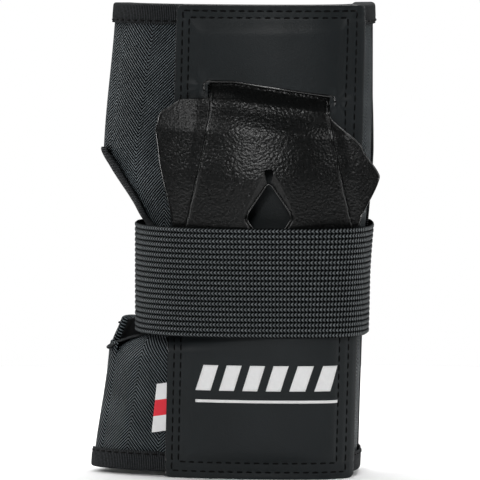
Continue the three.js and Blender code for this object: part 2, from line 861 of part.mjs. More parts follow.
function backSplint() {
  return panel({
    form: BACK_FORM,
    cols: 4,
    rows: evenly(8),
    left: (z) => placeOfBack(STAY_X[1], z),
    right: (z) => placeOfBack(STAY_X[0], z),
    low: level(STAY_Z[0]),
    high: level(STAY_Z[1]),
    lift: level(2 * GAP),
    thick: STAY,
  });
}

function loopField(low, high) {
  return backPatch(FIELD_X[0], FIELD_X[1], low, high, level(GAP), HOOK, 5, evenly(3));
}

function sideLabel() {
  return panel({
    form: PALM_FORM,
    cols: 3,
    rows: evenly(3),
    left: (z) => splintPlace(leatherThumb(z) - LABEL_OUT, z),
    right: (z) => splintPlace(leatherThumb(z) + LABEL_UNDER, z),
    low: level(LABEL_Z[0]),
    high: level(LABEL_Z[1]),
    lift: level(GAP),
    thick: 0.9,
  });
}

// ---- the assembly ----

paddedLayers('palm', palmOutline, FOAM);
paddedLayers('back', backOutline, FOAM);
add('side_gusset', sideGusset(), ELASTIC);
add('leather_palm_panel', leatherPanel(), PU_LEATHER);
add('palm_splint', palmSplint(), SPLINT_PLASTIC);
add('back_splint', backSplint(), SPLINT_PLASTIC);
add('back_splint_cover', backSplintCover(), PU_LEATHER);
add('top_binding', palmRimBinding(RIM_TOP, DOWN), BINDING_TAPE);
add('cuff_binding', palmRimBinding(RIM_LOW, UP), BINDING_TAPE);
add('back_top_binding', backRimBinding(backOutline.high, DOWN), BINDING_TAPE);
add('back_cuff_binding', backRimBinding(level(RIM_LOW), UP), BINDING_TAPE);
add('back_edge_binding', backEdgeBinding(), BINDING_TAPE);
add('thumb_notch_binding', thumbNotchBinding(), BINDING_TAPE);
add('side_label', sideLabel(), LABEL_WOVEN);
add('hand_loop_field', loopField(NOTCH_TOP + 12, BACK_TOP - 12), LOOP_TAPE);
add('wrist_loop_field', loopField(STRAP_LOW + 1, STRAP_TOP - 1), LOOP_TAPE);
add('forearm_loop_field', loopField(RIM_LOW + 12, STRAP_LOW - 8), LOOP_TAPE);
strapPieces();
flap('hand_flap', NOTCH_TOP + 0.5, RIM_TOP, HAND_FLAP_TAPER);
flap('forearm_flap', RIM_LOW, NOTCH_LOW - 0.5, FOREARM_FLAP_TAPER);

// The origin is the middle of the guard's footprint, on the surface that it stands on.
const box = new THREE.Box3().setFromObject(assembly);
const middle = box.getCenter(new THREE.Vector3());
assembly.position.set(-middle.x, -middle.y, -box.min.z);

export default guard;
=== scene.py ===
"""Wrist guard for the left hand, dressed round its CAD frame.

The cloth, leather and elastic pieces are drawn flat on the wrap, as a pattern maker draws
them: a place along the wrap, a height, and a distance out of the wrap. Each flat piece is
then laid on the same rounded section that the CAD solids have. Sizes are millimetres until
a mesh is finished, and metres from then on.
"""

import math

import bmesh
import bpy
import numpy as np
from mathutils import Matrix, Vector


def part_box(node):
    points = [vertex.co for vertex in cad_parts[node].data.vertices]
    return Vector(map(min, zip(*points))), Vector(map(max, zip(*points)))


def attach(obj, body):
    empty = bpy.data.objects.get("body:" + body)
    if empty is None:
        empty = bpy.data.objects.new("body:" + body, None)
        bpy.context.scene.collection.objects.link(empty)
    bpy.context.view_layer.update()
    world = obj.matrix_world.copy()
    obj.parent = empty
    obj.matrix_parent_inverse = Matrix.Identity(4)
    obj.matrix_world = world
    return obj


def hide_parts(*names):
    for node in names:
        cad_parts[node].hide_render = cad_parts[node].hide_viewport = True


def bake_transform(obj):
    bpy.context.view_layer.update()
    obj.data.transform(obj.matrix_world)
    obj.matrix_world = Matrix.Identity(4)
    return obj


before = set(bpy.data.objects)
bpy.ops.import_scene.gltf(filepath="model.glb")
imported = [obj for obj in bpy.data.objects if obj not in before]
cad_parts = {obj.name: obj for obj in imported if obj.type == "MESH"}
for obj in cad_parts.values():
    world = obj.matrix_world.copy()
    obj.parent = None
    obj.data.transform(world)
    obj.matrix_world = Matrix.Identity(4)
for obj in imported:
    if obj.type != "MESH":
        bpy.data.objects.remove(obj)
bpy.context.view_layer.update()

MM = 0.001

# ---- sizes that the CAD frame has, in millimetres ----

GUARD_HEIGHT = 213.6
RIM_LOW = 4.2
RIM_TOP = GUARD_HEIGHT - 1.8
BACK_TOP = RIM_TOP - 10
FLAT_X = 22
SIDE_Y = 4
PALM_DEPTH = 38
BACK_DEPTH = 25
GAP = 0.3
PAD = 6.4
FLAP_PAD = 4.4
STRAP_LOW = 64.3
STRAP_WIDTH = 50
STRAP_TOP = STRAP_LOW + STRAP_WIDTH
STRAP = 2.0
STRAP_RIBS = 21
NOTCH_LOW = 60
NOTCH_TOP = 147
LEATHER = 1.3
EDGE_LIFT = 1.6
POCKET_LIFT = 3.1
SLIT_TOP = 179.5
SLIT_LOW = 84
SLIT_HEIGHT = 17
SLIT_LEAN = 6.8
SLIT_KNEE = 0.55
SPLINT_X = 14.5
TONGUE_HALF = 22.5
TONGUE_ROOT = 24.5
TONGUE_RISE = 2.7
TONGUE_LOW = 16
TONGUE_TOP = 199
BAND_HALF = 26.8
SHOULDER_Z = 172.3
SHOULDER_RADIUS = 0.8
WING_THUMB = 51.2
WING_ULNAR = 50
WING_THUMB_Z = 157
WING_ULNAR_Z = 136.4
SPLINT_RISE = 15.5
SPLINT_FOOT = 8.6
SPLINT_CLEAR = 8.2
SPLINT_FACE = SIDE_Y - PALM_DEPTH - SPLINT_RISE
WING_DROP = 22
VENT_HALF_WIDTH = 10.7
VENT_HALF_HEIGHT = 16.2
VENT_Z = 119.2    # seen from a little above, so drawn a touch over the frame's own
COVER_X = (0, 40)
FIELD_X = (-31, -8)
FLAP_END_X = -6

# Where the frame puts the wrap: its own origin is the middle of the footprint.
STRAP_FRONT = 53.1
SHIFT_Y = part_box("strap_palm")[0].y / MM - (SIDE_Y - STRAP_FRONT - STRAP)
SHIFT_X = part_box("palm_splint")[1].x / MM - (SPLINT_X + WING_ULNAR)


# ---- small sums ----


def clamp(value, low, high):
    return np.minimum(np.maximum(value, low), high)


def ramp(value, start, end):
    """0 below start, 1 above end, and a smooth rise between them."""
    t = clamp((value - start) / (end - start), 0, 1)
    return t * t * (3 - 2 * t)


def mix(a, b, share):
    return a + (b - a) * share


def profile(points):
    """A smooth line through (height, value) points."""
    keys = np.array([p[0] for p in points], float)
    values = np.array([p[1] for p in points], float)

    def at(z):
        z = clamp(np.asarray(z, float), keys[0], keys[-1])
        i = clamp(np.searchsorted(keys, z, side="left") - 1, 0, len(keys) - 2).astype(int)
        line = (z - keys[i]) / (keys[i + 1] - keys[i])
        smooth = line * line * (3 - 2 * line)
        return mix(values[i], values[i + 1], (line + smooth) / 2)

    return at


def hump(value, centre, half):
    """1 at centre, 0 further than half from it."""
    return 1 - ramp(np.abs(value - centre), 0, half)


# ---- the wrap's section ----

ARC = math.pi / 4 * (1 - np.cos(np.linspace(0, math.pi, 97)))


class Form:
    """A closed rounded section whose reach to its four sides changes with height.

    A place w is 0 on the palm, 1 at the little-finger side, 2 on the back and -1 at the
    thumb side, with even steps of cloth between."""

    def __init__(self, thumb, ulnar, palm, back, bends):
        self.thumb, self.ulnar, self.palm, self.back = thumb, ulnar, palm, back
        self.bends = bends

    def quarter(self, w, z):
        turn = np.where(w > 2, w - 4, w)
        thumb_side = turn < 0
        palm_side = np.abs(turn) <= 1
        across = np.where(thumb_side, self.thumb(z) + FLAT_X, self.ulnar(z) - FLAT_X)
        deep = np.where(palm_side, self.palm(z), self.back(z))
        palm_bend = np.where(thumb_side, self.bends[0], self.bends[1])
        back_bend = np.where(thumb_side, self.bends[2], self.bends[3])
        bend = np.where(palm_side, palm_bend, back_bend)
        share = np.where(palm_side, np.abs(turn), 2 - np.abs(turn))
        sign_x = np.where(thumb_side, -1.0, 1.0)
        sign_y = np.where(palm_side, -1.0, 1.0)
        return across, deep, bend, share, sign_x, sign_y

    @staticmethod
    def arcs(across, deep, bend):
        """Length of each quarter from its middle line to each step of ARC."""
        power = (2 / bend)[:, None]
        x = across[:, None] * np.sin(ARC) ** power
        y = deep[:, None] * np.clip(np.cos(ARC), 0, 1) ** power
        steps = np.hypot(np.diff(x, axis=1), np.diff(y, axis=1))
        return np.concatenate([np.zeros((len(across), 1)), np.cumsum(steps, axis=1)], axis=1)

    def point(self, q, angle, z, d):
        across, deep, bend, _, sign_x, sign_y = q
        x = FLAT_X + sign_x * (across + d) * np.sin(angle) ** (2 / bend)
        y = SIDE_Y + sign_y * (deep + d) * np.clip(np.cos(angle), 0, 1) ** (2 / bend)
        return np.stack([x, y, z], axis=1)

    def at(self, w, z, d=0.0):
        """Points at places w and heights z, d out of the section."""
        w, z, d = (np.array(a, float) for a in np.broadcast_arrays(w, z, d))
        q = self.quarter(w, z)
        lengths = self.arcs(*q[:3])
        target = clamp(q[3], 0, 1) * lengths[:, -1]
        i = clamp((lengths < target[:, None]).sum(axis=1), 1, len(ARC) - 1).astype(int)
        row = np.arange(len(w))
        low, high = lengths[row, i - 1], lengths[row, i]
        angle = ARC[i - 1] + (target - low) / (high - low) * (ARC[i] - ARC[i - 1])
        return self.point(q, clamp(angle, 0, math.pi / 2), z, d)

    def cloth(self, w, z):
        """Millimetres of cloth from the middle of the palm to places w."""
        w, z = (np.array(a, float) for a in np.broadcast_arrays(w, z))
        total = np.zeros(len(w))
        for start in (0.0, 1.0):
            inside = clamp(np.abs(w) - start, 0, 1)
            probe = np.where(w < 0, -(start + 0.5), start + 0.5)
            lengths = self.arcs(*self.quarter(probe, z)[:3])[:, -1]
            total += inside * lengths
        return np.sign(w) * total

    def place_of_x(self, x, z, back=False):
        """Places w on the palm or the back whose points have a given x."""
        x, z = (np.array(a, float) for a in np.broadcast_arrays(x, z))
        side = np.where(x < FLAT_X, -1.0, 1.0)
        probe = side * (1.5 if back else 0.5)
        across, deep, bend, _, _, _ = self.quarter(probe, z)
        share = clamp(np.abs(x - FLAT_X) / across, 0, 1)
        angle = np.arcsin(share ** (bend / 2))
        lengths = self.arcs(across, deep, bend)
        part = np.array([np.interp(a, ARC, row) for a, row in zip(angle, lengths)])
        part = part / lengths[:, -1]
        return side * (2 - part if back else part)


thumb_reach = profile([
    (0, 65.5), (NOTCH_LOW - 3, 58), (STRAP_LOW, 42.5), (STRAP_TOP, 42.5),
    (NOTCH_TOP, 60.4), (GUARD_HEIGHT, 54.8),
])
flap_reach = profile([
    (0, 65.5), (NOTCH_LOW - 3, 58), (71, 52.8), (90, 48), (STRAP_TOP, 48),
    (NOTCH_TOP, 60.4), (GUARD_HEIGHT, 54.8),
])
ulnar_reach = profile([
    (0, 55), (STRAP_LOW + STRAP_WIDTH / 2, 57.4), (NOTCH_TOP, 61.6), (GUARD_HEIGHT, 61.6),
])
back_reach = profile([
    (0, 48), (STRAP_LOW - 12, 48), (STRAP_LOW, 41), (STRAP_TOP, 41),
    (NOTCH_TOP, 48), (GUARD_HEIGHT, 43.2),
])


def steady(value):
    return lambda z: np.full(np.shape(z), float(value))


WRAP_BENDS = (1.65, 3.2, 2.6, 3.0)
PALM_FORM = Form(thumb_reach, ulnar_reach, steady(PALM_DEPTH), steady(BACK_DEPTH), WRAP_BENDS)
BACK_FORM = Form(back_reach, ulnar_reach, steady(PALM_DEPTH), steady(BACK_DEPTH), WRAP_BENDS)
FLAP_BACK = BACK_DEPTH + FLAP_PAD + 3.3
FLAP_FORM = Form(flap_reach, ulnar_reach, steady(PALM_DEPTH), steady(FLAP_BACK), WRAP_BENDS)
STRAP_FORM = Form(
    steady(44.4),
    lambda z: ulnar_reach(z) + 1.4,
    lambda z: STRAP_FRONT - 10 + 0.2 * (z - STRAP_LOW),
    steady(BACK_DEPTH + 3.3),
    (2.5, 3.6, 2.6, 3.0),
)


def on_palm(x, z, d):
    """Points over the palm at given x and height, d out of the wrap."""
    return PALM_FORM.at(PALM_FORM.place_of_x(x, z), z, d)


# ---- meshes ----


def in_frame(points):
    """Millimetres of the wrap to metres of the frame."""
    return (np.asarray(points, float) + [SHIFT_X, SHIFT_Y, 0]) * MM


def finish_mesh(bm, name, material, smooth=True):
    mesh = bpy.data.meshes.new(name)
    bm.to_mesh(mesh)
    bm.free()
    for polygon in mesh.polygons:
        polygon.use_smooth = smooth
    obj = bpy.data.objects.new(name, mesh)
    bpy.context.scene.collection.objects.link(obj)
    for one in material if isinstance(material, list) else [material]:
        mesh.materials.append(one)
    return obj


def even(count, start=0.0, end=1.0):
    return np.linspace(start, end, count + 1)


def skin(name, material, us, vs, place, ring=False):
    """A sheet laid on the wrap. place(u, v) gives its points and its cloth coordinates,
    both in millimetres, at the columns us and rows vs. A ring's last row meets its first,
    and its two ends are closed."""
    bm = bmesh.new()
    bmesh.ops.create_grid(bm, x_segments=len(us) - 1, y_segments=len(vs) - 1, size=0.5)
    bm.verts.ensure_lookup_table()
    flat = np.array([v.co for v in bm.verts])
    u = np.asarray(us, float)[np.rint((flat[:, 0] + 0.5) * (len(us) - 1)).astype(int)]
    v = np.asarray(vs, float)[np.rint((flat[:, 1] + 0.5) * (len(vs) - 1)).astype(int)]
    points, cloth = place(u, v)
    points = in_frame(points)
    layer = bm.loops.layers.uv.new("cloth")
    for face in bm.faces:
        for loop in face.loops:
            s, t = cloth[loop.vert.index]
            loop[layer].uv = (s * MM, t * MM)
    for vert, point in zip(bm.verts, points):
        vert.co = point
    if ring:
        bmesh.ops.remove_doubles(bm, verts=bm.verts, dist=0.001 * MM)
        rim = [e for e in bm.edges if e.is_boundary]
        bmesh.ops.holes_fill(bm, edges=rim, sides=0)
        bmesh.ops.recalc_face_normals(bm, faces=bm.faces)
    return finish_mesh(bm, name, material)


def modifier(obj, kind, **settings):
    made = obj.modifiers.new(kind.title(), kind)
    for key, value in settings.items():
        setattr(made, key, value)
    return made


def thicken(obj, thickness, outward=False, inner_material=0):
    modifier(
        obj, "SOLIDIFY", thickness=thickness * MM, offset=1 if outward else -1,
        use_even_offset=False, material_offset=inner_material,
    )


def soften(obj, width, segments=2, angle=50):
    modifier(
        obj, "BEVEL", width=width * MM, segments=segments, limit_method="ANGLE",
        angle_limit=math.radians(angle), harden_normals=False, material=-1,
    )


def subdivide(obj, levels):
    modifier(obj, "SUBSURF", levels=levels, render_levels=levels)


def settle(obj):
    """Applies an object's modifiers to its mesh."""
    graph = bpy.context.evaluated_depsgraph_get()
    graph.update()
    mesh = bpy.data.meshes.new_from_object(obj.evaluated_get(graph))
    obj.modifiers.clear()
    obj.data = mesh
    return obj


def crease_by_angle(obj, degrees):
    """Faces shade smoothly except across edges that turn more than the angle."""
    limit = math.radians(degrees)
    bm = bmesh.new()
    bm.from_mesh(obj.data)
    for face in bm.faces:
        face.smooth = True
    for edge in bm.edges:
        edge.smooth = len(edge.link_faces) != 2 or edge.calc_face_angle(0) < limit
    bm.to_mesh(obj.data)
    bm.free()


def place_piece(obj, body, nodes=()):
    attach(obj, body)
    if nodes:
        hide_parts(*nodes)
    return obj


def join_copies(name, material, template, matrices):
    """One object of many copies of a small template mesh."""
    bm = bmesh.new()
    for matrix in matrices:
        start = len(bm.verts)
        bm.from_mesh(template)
        bm.verts.ensure_lookup_table()
        bmesh.ops.transform(bm, matrix=matrix, verts=bm.verts[start:])
    return finish_mesh(bm, name, material)


# ---- materials ----


def linear(hex_colour):
    """An sRGB hex colour as linear RGBA."""
    parts = [int(hex_colour[i:i + 2], 16) / 255 for i in (1, 3, 5)]
    return (*[c / 12.92 if c <= 0.04045 else ((c + 0.055) / 1.055) ** 2.4 for c in parts], 1)


def add(tree, kind, inputs=(), **settings):
    """Adds a node with its settings. inputs go to its sockets in their order, or by name in
    a dict: a node gives its first output, a socket gives itself, and the rest are values."""
    node = tree.nodes.new("ShaderNode" + kind)
    for key, value in settings.items():
        setattr(node, key, value)
    live = [socket for socket in node.inputs if socket.enabled]
    named = {socket.name: socket for socket in live}
    for key, value in inputs.items() if isinstance(inputs, dict) else enumerate(inputs):
        socket = named[key] if isinstance(key, str) else live[key]
        if isinstance(value, bpy.types.Node):
            value = next(output for output in value.outputs if output.enabled)
        if isinstance(value, bpy.types.NodeSocket):
            tree.links.new(value, socket)
        else:
            socket.default_value = value
    return node


def new_material(name):
    material = bpy.data.materials.new(name)
    material.use_nodes = True
    tree = material.node_tree
    tree.nodes.clear()
    return material, tree


def close_material(tree, colour, roughness, normal, **sockets):
    names = {
        "specular": "Specular IOR Level", "sheen": "Sheen Weight",
        "sheen_roughness": "Sheen Roughness", "coat": "Coat Weight",
        "coat_roughness": "Coat Roughness", "ior": "IOR",
    }
    inputs = {"Base Color": colour, "Roughness": roughness}
    if normal is not None:
        inputs["Normal"] = normal
    inputs.update({names[key]: value for key, value in sockets.items()})
    shader = add(tree, "BsdfPrincipled", inputs)
    add(tree, "OutputMaterial", {"Surface": shader.outputs["BSDF"]})


def cloth_axes(tree):
    """The piece's cloth coordinates in metres, then each alone: along the wrap, and up it."""
    uv = add(tree, "UVMap", uv_map="cloth")
    split = add(tree, "SeparateXYZ", (uv,))
    return uv, split.outputs["X"], split.outputs["Y"]


def wave(tree, along, period):
    """Swings from 0 to 1 and back in each period, in millimetres."""
    turns = add(tree, "Math", (along, 2 * math.pi / (period * MM)), operation="MULTIPLY")
    swing = add(tree, "Math", (turns,), operation="SINE")
    return add(tree, "Math", (swing, 0.5, 0.5), operation="MULTIPLY_ADD")


def ridge_highlight_and_wear(tree, yarn, power, nap, least):
    """How much of the painted highlight colour shows: the yarn's raised part, painted lighter as if
    lit, unevenly rubbed.
    """
    # Painted highlight: the raised part of the yarn gets the light colour. The nap noise varies it
    # as real wear.
    raised = add(tree, "Math", (yarn, power), operation="POWER")
    rubbed = add(tree, "Math", (nap, least), operation="ADD")
    return add(tree, "Math", (raised, rubbed), operation="MULTIPLY")


def relief(height, depth, strength, **below):
    """Inputs for a Bump node whose full height is the depth in millimetres."""
    return {"Height": height, "Distance": depth * MM, "Strength": strength, **below}


def close_woven(tree, share, shade_and_highlight_colours, shine, rough, height):
    """Yarn painted dark between its raised parts as shade and painted light on them as a highlight,
    and that shines only on them.
    """
    # Painted light: the first colour is painted shade in the gaps, the second a painted highlight
    # on the raised yarn.
    colour = add(tree, "Mix", (share, *map(linear, shade_and_highlight_colours)), data_type="RGBA")
    glint = add(tree, "Math", (share, shine), operation="MULTIPLY")
    close_material(tree, colour, rough, add(tree, "Bump", height), specular=glint)


HERRING_BAND = 16.0     # width of a band before the slant turns over
HERRING_TURN = -69.0    # where one turn crosses HERRING_LEVEL, along the wrap
HERRING_LEVEL = 165
HERRING_LEAN = 0.15     # how far the bands lean for each millimetre of height


def herringbone_nylon(name="nylon_herringbone_woven"):
    # Coarse nylon twill whose slant turns over in wide bands: a highlight painted light on the
    # ribs, shade painted black in the gaps.
    # Its yarns are drawn coarser than real ones, so that they show.
    material, tree = new_material(name)
    uv, s, t = cloth_axes(tree)
    start = (HERRING_TURN - HERRING_LEVEL * HERRING_LEAN) * MM
    leaning = add(tree, "Math", (t, -HERRING_LEAN, s), operation="MULTIPLY_ADD")
    across = add(tree, "Math", (leaning, start), operation="SUBTRACT")
    band = add(tree, "Math", (across, HERRING_BAND * MM), operation="PINGPONG")
    rib = wave(tree, add(tree, "Math", (t, band), operation="SUBTRACT"), 1.6)
    yarn = wave(tree, add(tree, "Math", (t, band), operation="ADD"), 1.05)
    crossed = add(tree, "Math", (yarn, 0.6, 0.4), operation="MULTIPLY_ADD")
    cell = add(tree, "Math", (rib, crossed), operation="MULTIPLY")
    wear = add(tree, "TexNoise", {"Vector": uv, "Scale": 1 / (16.7 * MM), "Detail": 2.0})
    share = ridge_highlight_and_wear(tree, cell, 2.0, wear, 0.45)
    rough = add(tree, "Math", (rib, -0.2, 0.62), operation="MULTIPLY_ADD")
    # 7f8a8f is a painted highlight on the ribs; #020203 is painted shade in the gaps.
    close_woven(tree, share, ("#020203", "#7f8a8f"), 0.75, rough, relief(cell, 0.5, 1.0))
    return material


def pu_leather(name="polyurethane_leather_embossed"):
    # Coated synthetic leather: satin, with a fine embossed grain and a slight waviness.
    material, tree = new_material(name)
    where = add(tree, "TexCoord").outputs["Object"]
    grain = add(tree, "TexVoronoi", {"Vector": where, "Scale": 1 / (0.9 * MM)}, feature="SMOOTH_F1")
    fine = add(tree, "TexNoise", {"Vector": where, "Scale": 1 / (0.5 * MM), "Detail": 3.0})
    waves = add(tree, "TexNoise", {"Vector": where, "Scale": 1 / (14 * MM), "Detail": 2.0})
    tint = add(tree, "TexNoise", {"Vector": where, "Scale": 1 / (25 * MM), "Detail": 3.0})
    colour = add(tree, "Mix", (tint, linear("#1a1d1e"), linear("#222628")), data_type="RGBA")
    rough = add(tree, "Math", (fine, 0.16, 0.34), operation="MULTIPLY_ADD")
    height = add(tree, "Math", (grain, 0.5, fine), operation="MULTIPLY_ADD")
    waved = add(tree, "Bump", relief(waves, 0.5, 0.35))
    normal = add(tree, "Bump", relief(height, 0.1, 0.7, Normal=waved))
    close_material(tree, colour, rough, normal, specular=0.16)
    return material


def moulded_nylon(name="nylon_injection_moulded"):
    # Glass-filled nylon from a spark-eroded mould: an even orange-peel grain that sparkles.
    material, tree = new_material(name)
    where = add(tree, "TexCoord").outputs["Object"]
    grain = add(tree, "TexNoise", {"Vector": where, "Scale": 1 / (1.3 * MM), "Detail": 2.5})
    pits = add(tree, "TexVoronoi", {"Vector": where, "Scale": 1 / (1.1 * MM)})
    shade = add(tree, "TexNoise", {"Vector": where, "Scale": 1 / (20 * MM), "Detail": 2.0})
    colour = add(tree, "Mix", (shade, linear("#090a0a"), linear("#0d0e0e")), data_type="RGBA")
    rough = add(tree, "Math", (grain, 0.2, 0.2), operation="MULTIPLY_ADD")
    height = add(tree, "Math", (pits, 0.5, grain), operation="MULTIPLY_ADD")
    normal = add(tree, "Bump", relief(height, 0.3, 0.8))
    close_material(tree, colour, rough, normal, specular=0.3)
    return material


def polished_nylon(name="nylon_polished_chamfer"):
    # The same nylon where the mould is polished: smooth, with clear reflections.
    material, tree = new_material(name)
    where = add(tree, "TexCoord").outputs["Object"]
    haze = add(tree, "TexNoise", {"Vector": where, "Scale": 1 / (4 * MM), "Detail": 2.0})
    rough = add(tree, "Math", (haze, 0.1, 0.12), operation="MULTIPLY_ADD")
    close_material(tree, linear("#0c0d0d"), rough, None, specular=0.8)
    return material


def woven_elastic(name="elastic_webbing_woven"):
    # Knitted elastic: ribs over rubber cords, each crossed by a chevron of binding yarns.
    material, tree = new_material(name)
    uv, s, t = cloth_axes(tree)
    pitch = STRAP_WIDTH / STRAP_RIBS * MM
    flip = add(tree, "Math", (t, pitch / 2), operation="PINGPONG")
    yarn = wave(tree, add(tree, "Math", (flip, 0.9, s), operation="MULTIPLY_ADD"), 1.6)
    turns = add(tree, "Math", (t, math.pi / pitch), operation="MULTIPLY")
    swing = add(tree, "Math", (turns,), operation="SINE")
    rib = add(tree, "Math", (swing,), operation="ABSOLUTE")
    thread = add(tree, "Math", (yarn, rib), operation="MULTIPLY")
    fuzz = add(tree, "TexNoise", {"Vector": uv, "Scale": 1 / (1.43 * MM), "Detail": 3.0})
    share = ridge_highlight_and_wear(tree, thread, 1.5, fuzz, 0.3)
    # 7d8386 is a painted highlight on the raised threads; #020303 is painted shade between the
    # ribs.
    close_woven(tree, share, ("#020303", "#7d8386"), 0.5, 0.6, relief(thread, 0.5, 1.0))
    return material


def binding_tape(name="polyester_tape_grosgrain"):
    # Grosgrain: fine ribs across the tape, dull with a faint sheen, partly painted as a lighter
    # colour on the rib tops, with shade painted between them.
    material, tree = new_material(name)
    uv, s, _ = cloth_axes(tree)
    rib = wave(tree, s, 0.9)
    fuzz = add(tree, "TexNoise", {"Vector": uv, "Scale": 1 / (0.83 * MM), "Detail": 2.0})
    share = ridge_highlight_and_wear(tree, rib, 1.0, fuzz, 0.1)
    # 3a3d40 is a painted highlight on the rib tops; #060707 is painted shade between them.
    close_woven(tree, share, ("#060707", "#3a3d40"), 0.4, 0.7, relief(rib, 0.25, 0.9))
    return material


def plain_cloth(name, dark, light, nap_size, depth, rough=0.9):
    # Brushed or felted cloth: a soft random nap.
    material, tree = new_material(name)
    where = add(tree, "TexCoord").outputs["Object"]
    nap = add(tree, "TexNoise", {"Vector": where, "Scale": 1 / (nap_size * MM), "Detail": 4.0})
    colour = add(tree, "Mix", (nap, linear(dark), linear(light)), data_type="RGBA")
    normal = add(tree, "Bump", relief(nap, depth, 0.9))
    close_material(tree, colour, rough, normal, sheen=0.03, sheen_roughness=0.5, specular=0.3)
    return material


def sewing_thread(name="polyester_thread_bonded"):
    # Bonded three-ply thread, a little glossier than what it holds.
    material, tree = new_material(name)
    where = add(tree, "TexCoord").outputs["Object"]
    twist = add(tree, "TexNoise", {"Vector": where, "Scale": 1 / (0.4 * MM)})
    colour = add(tree, "Mix", (twist, linear("#010101"), linear("#040405")), data_type="RGBA")
    normal = add(tree, "Bump", relief(twist, 0.08, 0.7))
    close_material(tree, colour, 0.6, normal, specular=0.1)
    return material


def flat_ink(name, colour_hex, rough=0.55):
    # Screen-printed ink: matt, with a slightly uneven film.
    material, tree = new_material(name)
    where = add(tree, "TexCoord").outputs["Object"]
    film = add(tree, "TexNoise", {"Vector": where, "Scale": 1 / (1.5 * MM), "Detail": 3.0})
    top = linear(colour_hex)
    thin = tuple(c * 0.88 for c in top[:3]) + (1,)
    colour = add(tree, "Mix", (film, thin, top), data_type="RGBA")
    close_material(tree, colour, rough, add(tree, "Bump", relief(film, 0.03, 0.4)))
    return material


def woven_label(name="polyester_label_woven"):
    # A damask label in three bars, white, red, white, with fine weft lines.
    material, tree = new_material(name)
    _, _, t = cloth_axes(tree)
    third = (LABEL_Z[1] - LABEL_Z[0]) * MM / 3
    above = add(tree, "Math", (t, LABEL_Z[0] * MM), operation="SUBTRACT")
    height = add(tree, "Math", (above, third), operation="DIVIDE")
    centred = add(tree, "Math", (height, 1.5), operation="SUBTRACT")
    away = add(tree, "Math", (centred,), operation="ABSOLUTE")
    red = add(tree, "Math", (away, 0.5), operation="LESS_THAN")
    weft = wave(tree, t, 0.5)
    bars = add(tree, "Mix", (red, linear("#e9e9ea"), linear("#df2637")), data_type="RGBA")
    shade = add(tree, "Math", (weft, 0.18, 0.82), operation="MULTIPLY_ADD")
    colour = add(tree, "Mix", (1.0, bars, shade), data_type="RGBA", blend_type="MULTIPLY")
    close_material(tree, colour, 0.75, add(tree, "Bump", relief(weft, 0.08, 0.7)))
    return material


LABEL_Z = (20.5, 42.3)

NYLON = herringbone_nylon()
LEATHER_SKIN = pu_leather()
PLASTIC = moulded_nylon()
ELASTIC = woven_elastic()
TAPE = binding_tape()
LINING = plain_cloth("polyester_lining_brushed", "#0b0c0d", "#1f2123", 0.6, 0.2)
LOOP = plain_cloth("nylon_loop_tape_brushed", "#0b0c0c", "#26282a", 0.8, 0.5)
HOOKS = plain_cloth("nylon_hook_tape_moulded", "#0a0a0b", "#232426", 0.9, 0.4, 0.45)
THREAD = sewing_thread()
POLISHED = polished_nylon()
EDGE_PAINT = polished_nylon("acrylic_edge_paint_gloss")
INK = flat_ink("screen_print_white", "#ececec")
LABEL = woven_label()

# ---- stitches ----

STITCH = 3.0
STITCH_PITCH = 4.1


def stitch_template():
    """One stitch, lying along X, its two ends dipping into the cloth."""
    bm = bmesh.new()
    bmesh.ops.create_cone(
        bm, cap_ends=True, segments=6, radius1=0.42, radius2=0.42, depth=STITCH,
        matrix=Matrix.Rotation(math.pi / 2, 4, "Y"),
    )
    lengthwise = [e for e in bm.edges if abs(e.verts[0].co.x - e.verts[1].co.x) > 1]
    bmesh.ops.subdivide_edges(bm, edges=lengthwise, cuts=3)
    for vert in bm.verts:
        share = abs(vert.co.x) / (STITCH / 2)
        vert.co.z = vert.co.z * (1 - 0.3 * share) - 0.3 * share ** 2
    bmesh.ops.scale(bm, vec=(MM, MM, MM), verts=bm.verts)
    mesh = bpy.data.meshes.new("stitch")
    bm.to_mesh(mesh)
    bm.free()
    return mesh


STITCH_MESH = stitch_template()


def along_line(points, pitch):
    """Points at an even pitch along a polyline, and the direction there."""
    points = np.asarray(points, float)
    steps = np.linalg.norm(np.diff(points, axis=0), axis=1)
    length = np.concatenate([[0], np.cumsum(steps)])
    count = max(1, int(length[-1] / pitch))
    where = (np.arange(count) + 0.5) * length[-1] / count
    spots = np.stack([np.interp(where, length, points[:, i]) for i in range(3)], axis=1)
    ahead = np.stack([np.interp(where + 0.5, length, points[:, i]) for i in range(3)], axis=1)
    behind = np.stack([np.interp(where - 0.5, length, points[:, i]) for i in range(3)], axis=1)
    return spots, ahead - behind


def stitch_frames(surface, deep, pitch=STITCH_PITCH):
    """Frames for stitches along a line of surface points; deep is the same line sunk in."""
    spots, along = along_line(surface, pitch)
    down, _ = along_line(deep, pitch)
    frames = []
    for spot, way, low in zip(spots, along, down[:len(spots)]):
        x = Vector(way).normalized()
        up = (Vector(spot) - Vector(low)).normalized()
        z = (up - x * up.dot(x)).normalized()
        y = z.cross(x)
        turn = Matrix((x, y, z)).transposed().to_4x4()
        frames.append(Matrix.Translation(Vector(in_frame([spot])[0])) @ turn)
    return frames


def seam(lines, pitch=STITCH_PITCH):
    """Stitch frames for several lines, each a function of a depth under the surface."""
    frames = []
    for line in lines:
        frames += stitch_frames(line(0.0), line(-1.0), pitch)
    return frames


def run(face, x, z, lift=0.1):
    """A line of stitches over a surface whose points are face(x, z, out)."""
    x, z = (part.astype(float) for part in np.broadcast_arrays(x, z))
    return lambda sunk: face(x, z, lift + sunk)


# ---- soft pads ----


